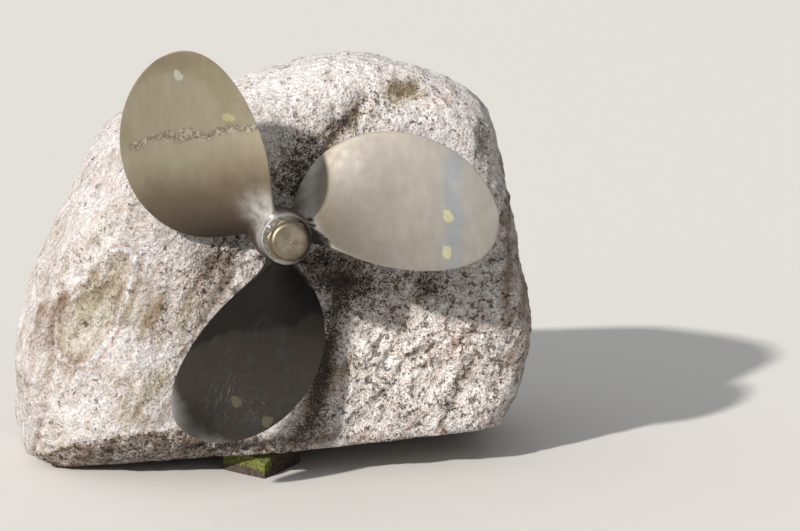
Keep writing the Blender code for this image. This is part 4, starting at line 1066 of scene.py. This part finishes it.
sides = BLOCK_NOSE_RATIO * np.array((right - nose, left - nose))
nose_slope = np.linalg.solve(sides, underside(nose + sides) - GAP - BLOCK_NOSE_HEIGHT)
top = np.minimum(underside(plan) - GAP - MOSS_ROOM, BLOCK_NOSE_HEIGHT + (plan - nose) @ nose_slope)
height = top * lift[:, None]
grid = np.concatenate((SHAFT_FOOT[:2] + plan, height[..., None]), axis=-1)
flat = grid.reshape(-1, 3).copy()
rough_side = 0.0022 * lattice_noise(flat, 0.03, 31) + 0.0012 * lattice_noise(flat, 0.012, 33) - 0.0016
outward = (rim - middle) / np.linalg.norm(rim - middle, axis=1)[:, None]
is_side = (step_between(shrink, 0.80, 1.0) * step_between(lift, 0.0, 0.2))[:, None]
grid[..., :2] += (rough_side.reshape(grid.shape[:2]) * is_side)[..., None] * outward
ahead = step_between(-(plan - nose) @ np.array((0.1, 0.99)) + 0.050, 0.0, 0.030)
is_top = (lift >= 1.0)[:, None] * ahead
cushions = np.abs(lattice_noise(flat, 0.014, 37)) + 0.5 * np.abs(lattice_noise(flat, 0.006, 39))
grid[..., 2] += MOSS_LIFT * cushions.reshape(grid.shape[:2]) * is_top
first = np.array((*(SHAFT_FOOT[:2] + middle), 0.0))
last = grid[-1].mean(axis=0)
block = closed_grid("mossy_packing_block", grid, first, last)
facing_left = outward @ np.array((-0.80, -0.60))
side_moss = step_between(facing_left, 0.1, 0.7)[None, :] * step_between(lift, 0.15, 0.7)[:, None]
moss = np.maximum(side_moss * (lift < 1.0)[:, None] * 0.9, is_top)
mark(block, "moss", np.concatenate((moss.ravel(), (0.0, 0.0))))

# Dark split stone under moss: soft tufts of 8 mm in green and straw, thickest where light and rain reach.
mossy, tree = open_material("mossy_split_stone")
where = add("TexCoord").outputs["Object"]
tufts = add("TexNoise", {"Vector": where, "Scale": 120.0, "Detail": 6.0, "Roughness": 0.7})
lumps = add("TexNoise", {"Vector": where, "Scale": 40.0, "Detail": 3.0})
stone = add("ValToRGB", {"Fac": tufts}, stops=((0.35, "2B2420"), (0.55, "4C4138"), (0.75, "6A5C4E")))
green = add("ValToRGB", {"Fac": tufts}, stops=((0.30, "2B2A16"), (0.45, "474C22"), (0.60, "6C7034"), (0.80, "928F57")))
spread = weighted((lumps, 1.0), (add("Attribute", attribute_name="moss").outputs["Fac"], 1.0))
covered = add("MapRange", (spread, 0.85, 1.05), interpolation_type="SMOOTHSTEP")
bump = add("Bump", {"Height": tufts, "Strength": 0.9, "Distance": 0.003})
coat(block, mossy, add("BsdfPrincipled", {"Base Color": laid(stone, covered, green), "Roughness": 0.9,
                                          "Specular IOR Level": 0.25, "Normal": bump}))
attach(block, "root")
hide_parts("packing_block")
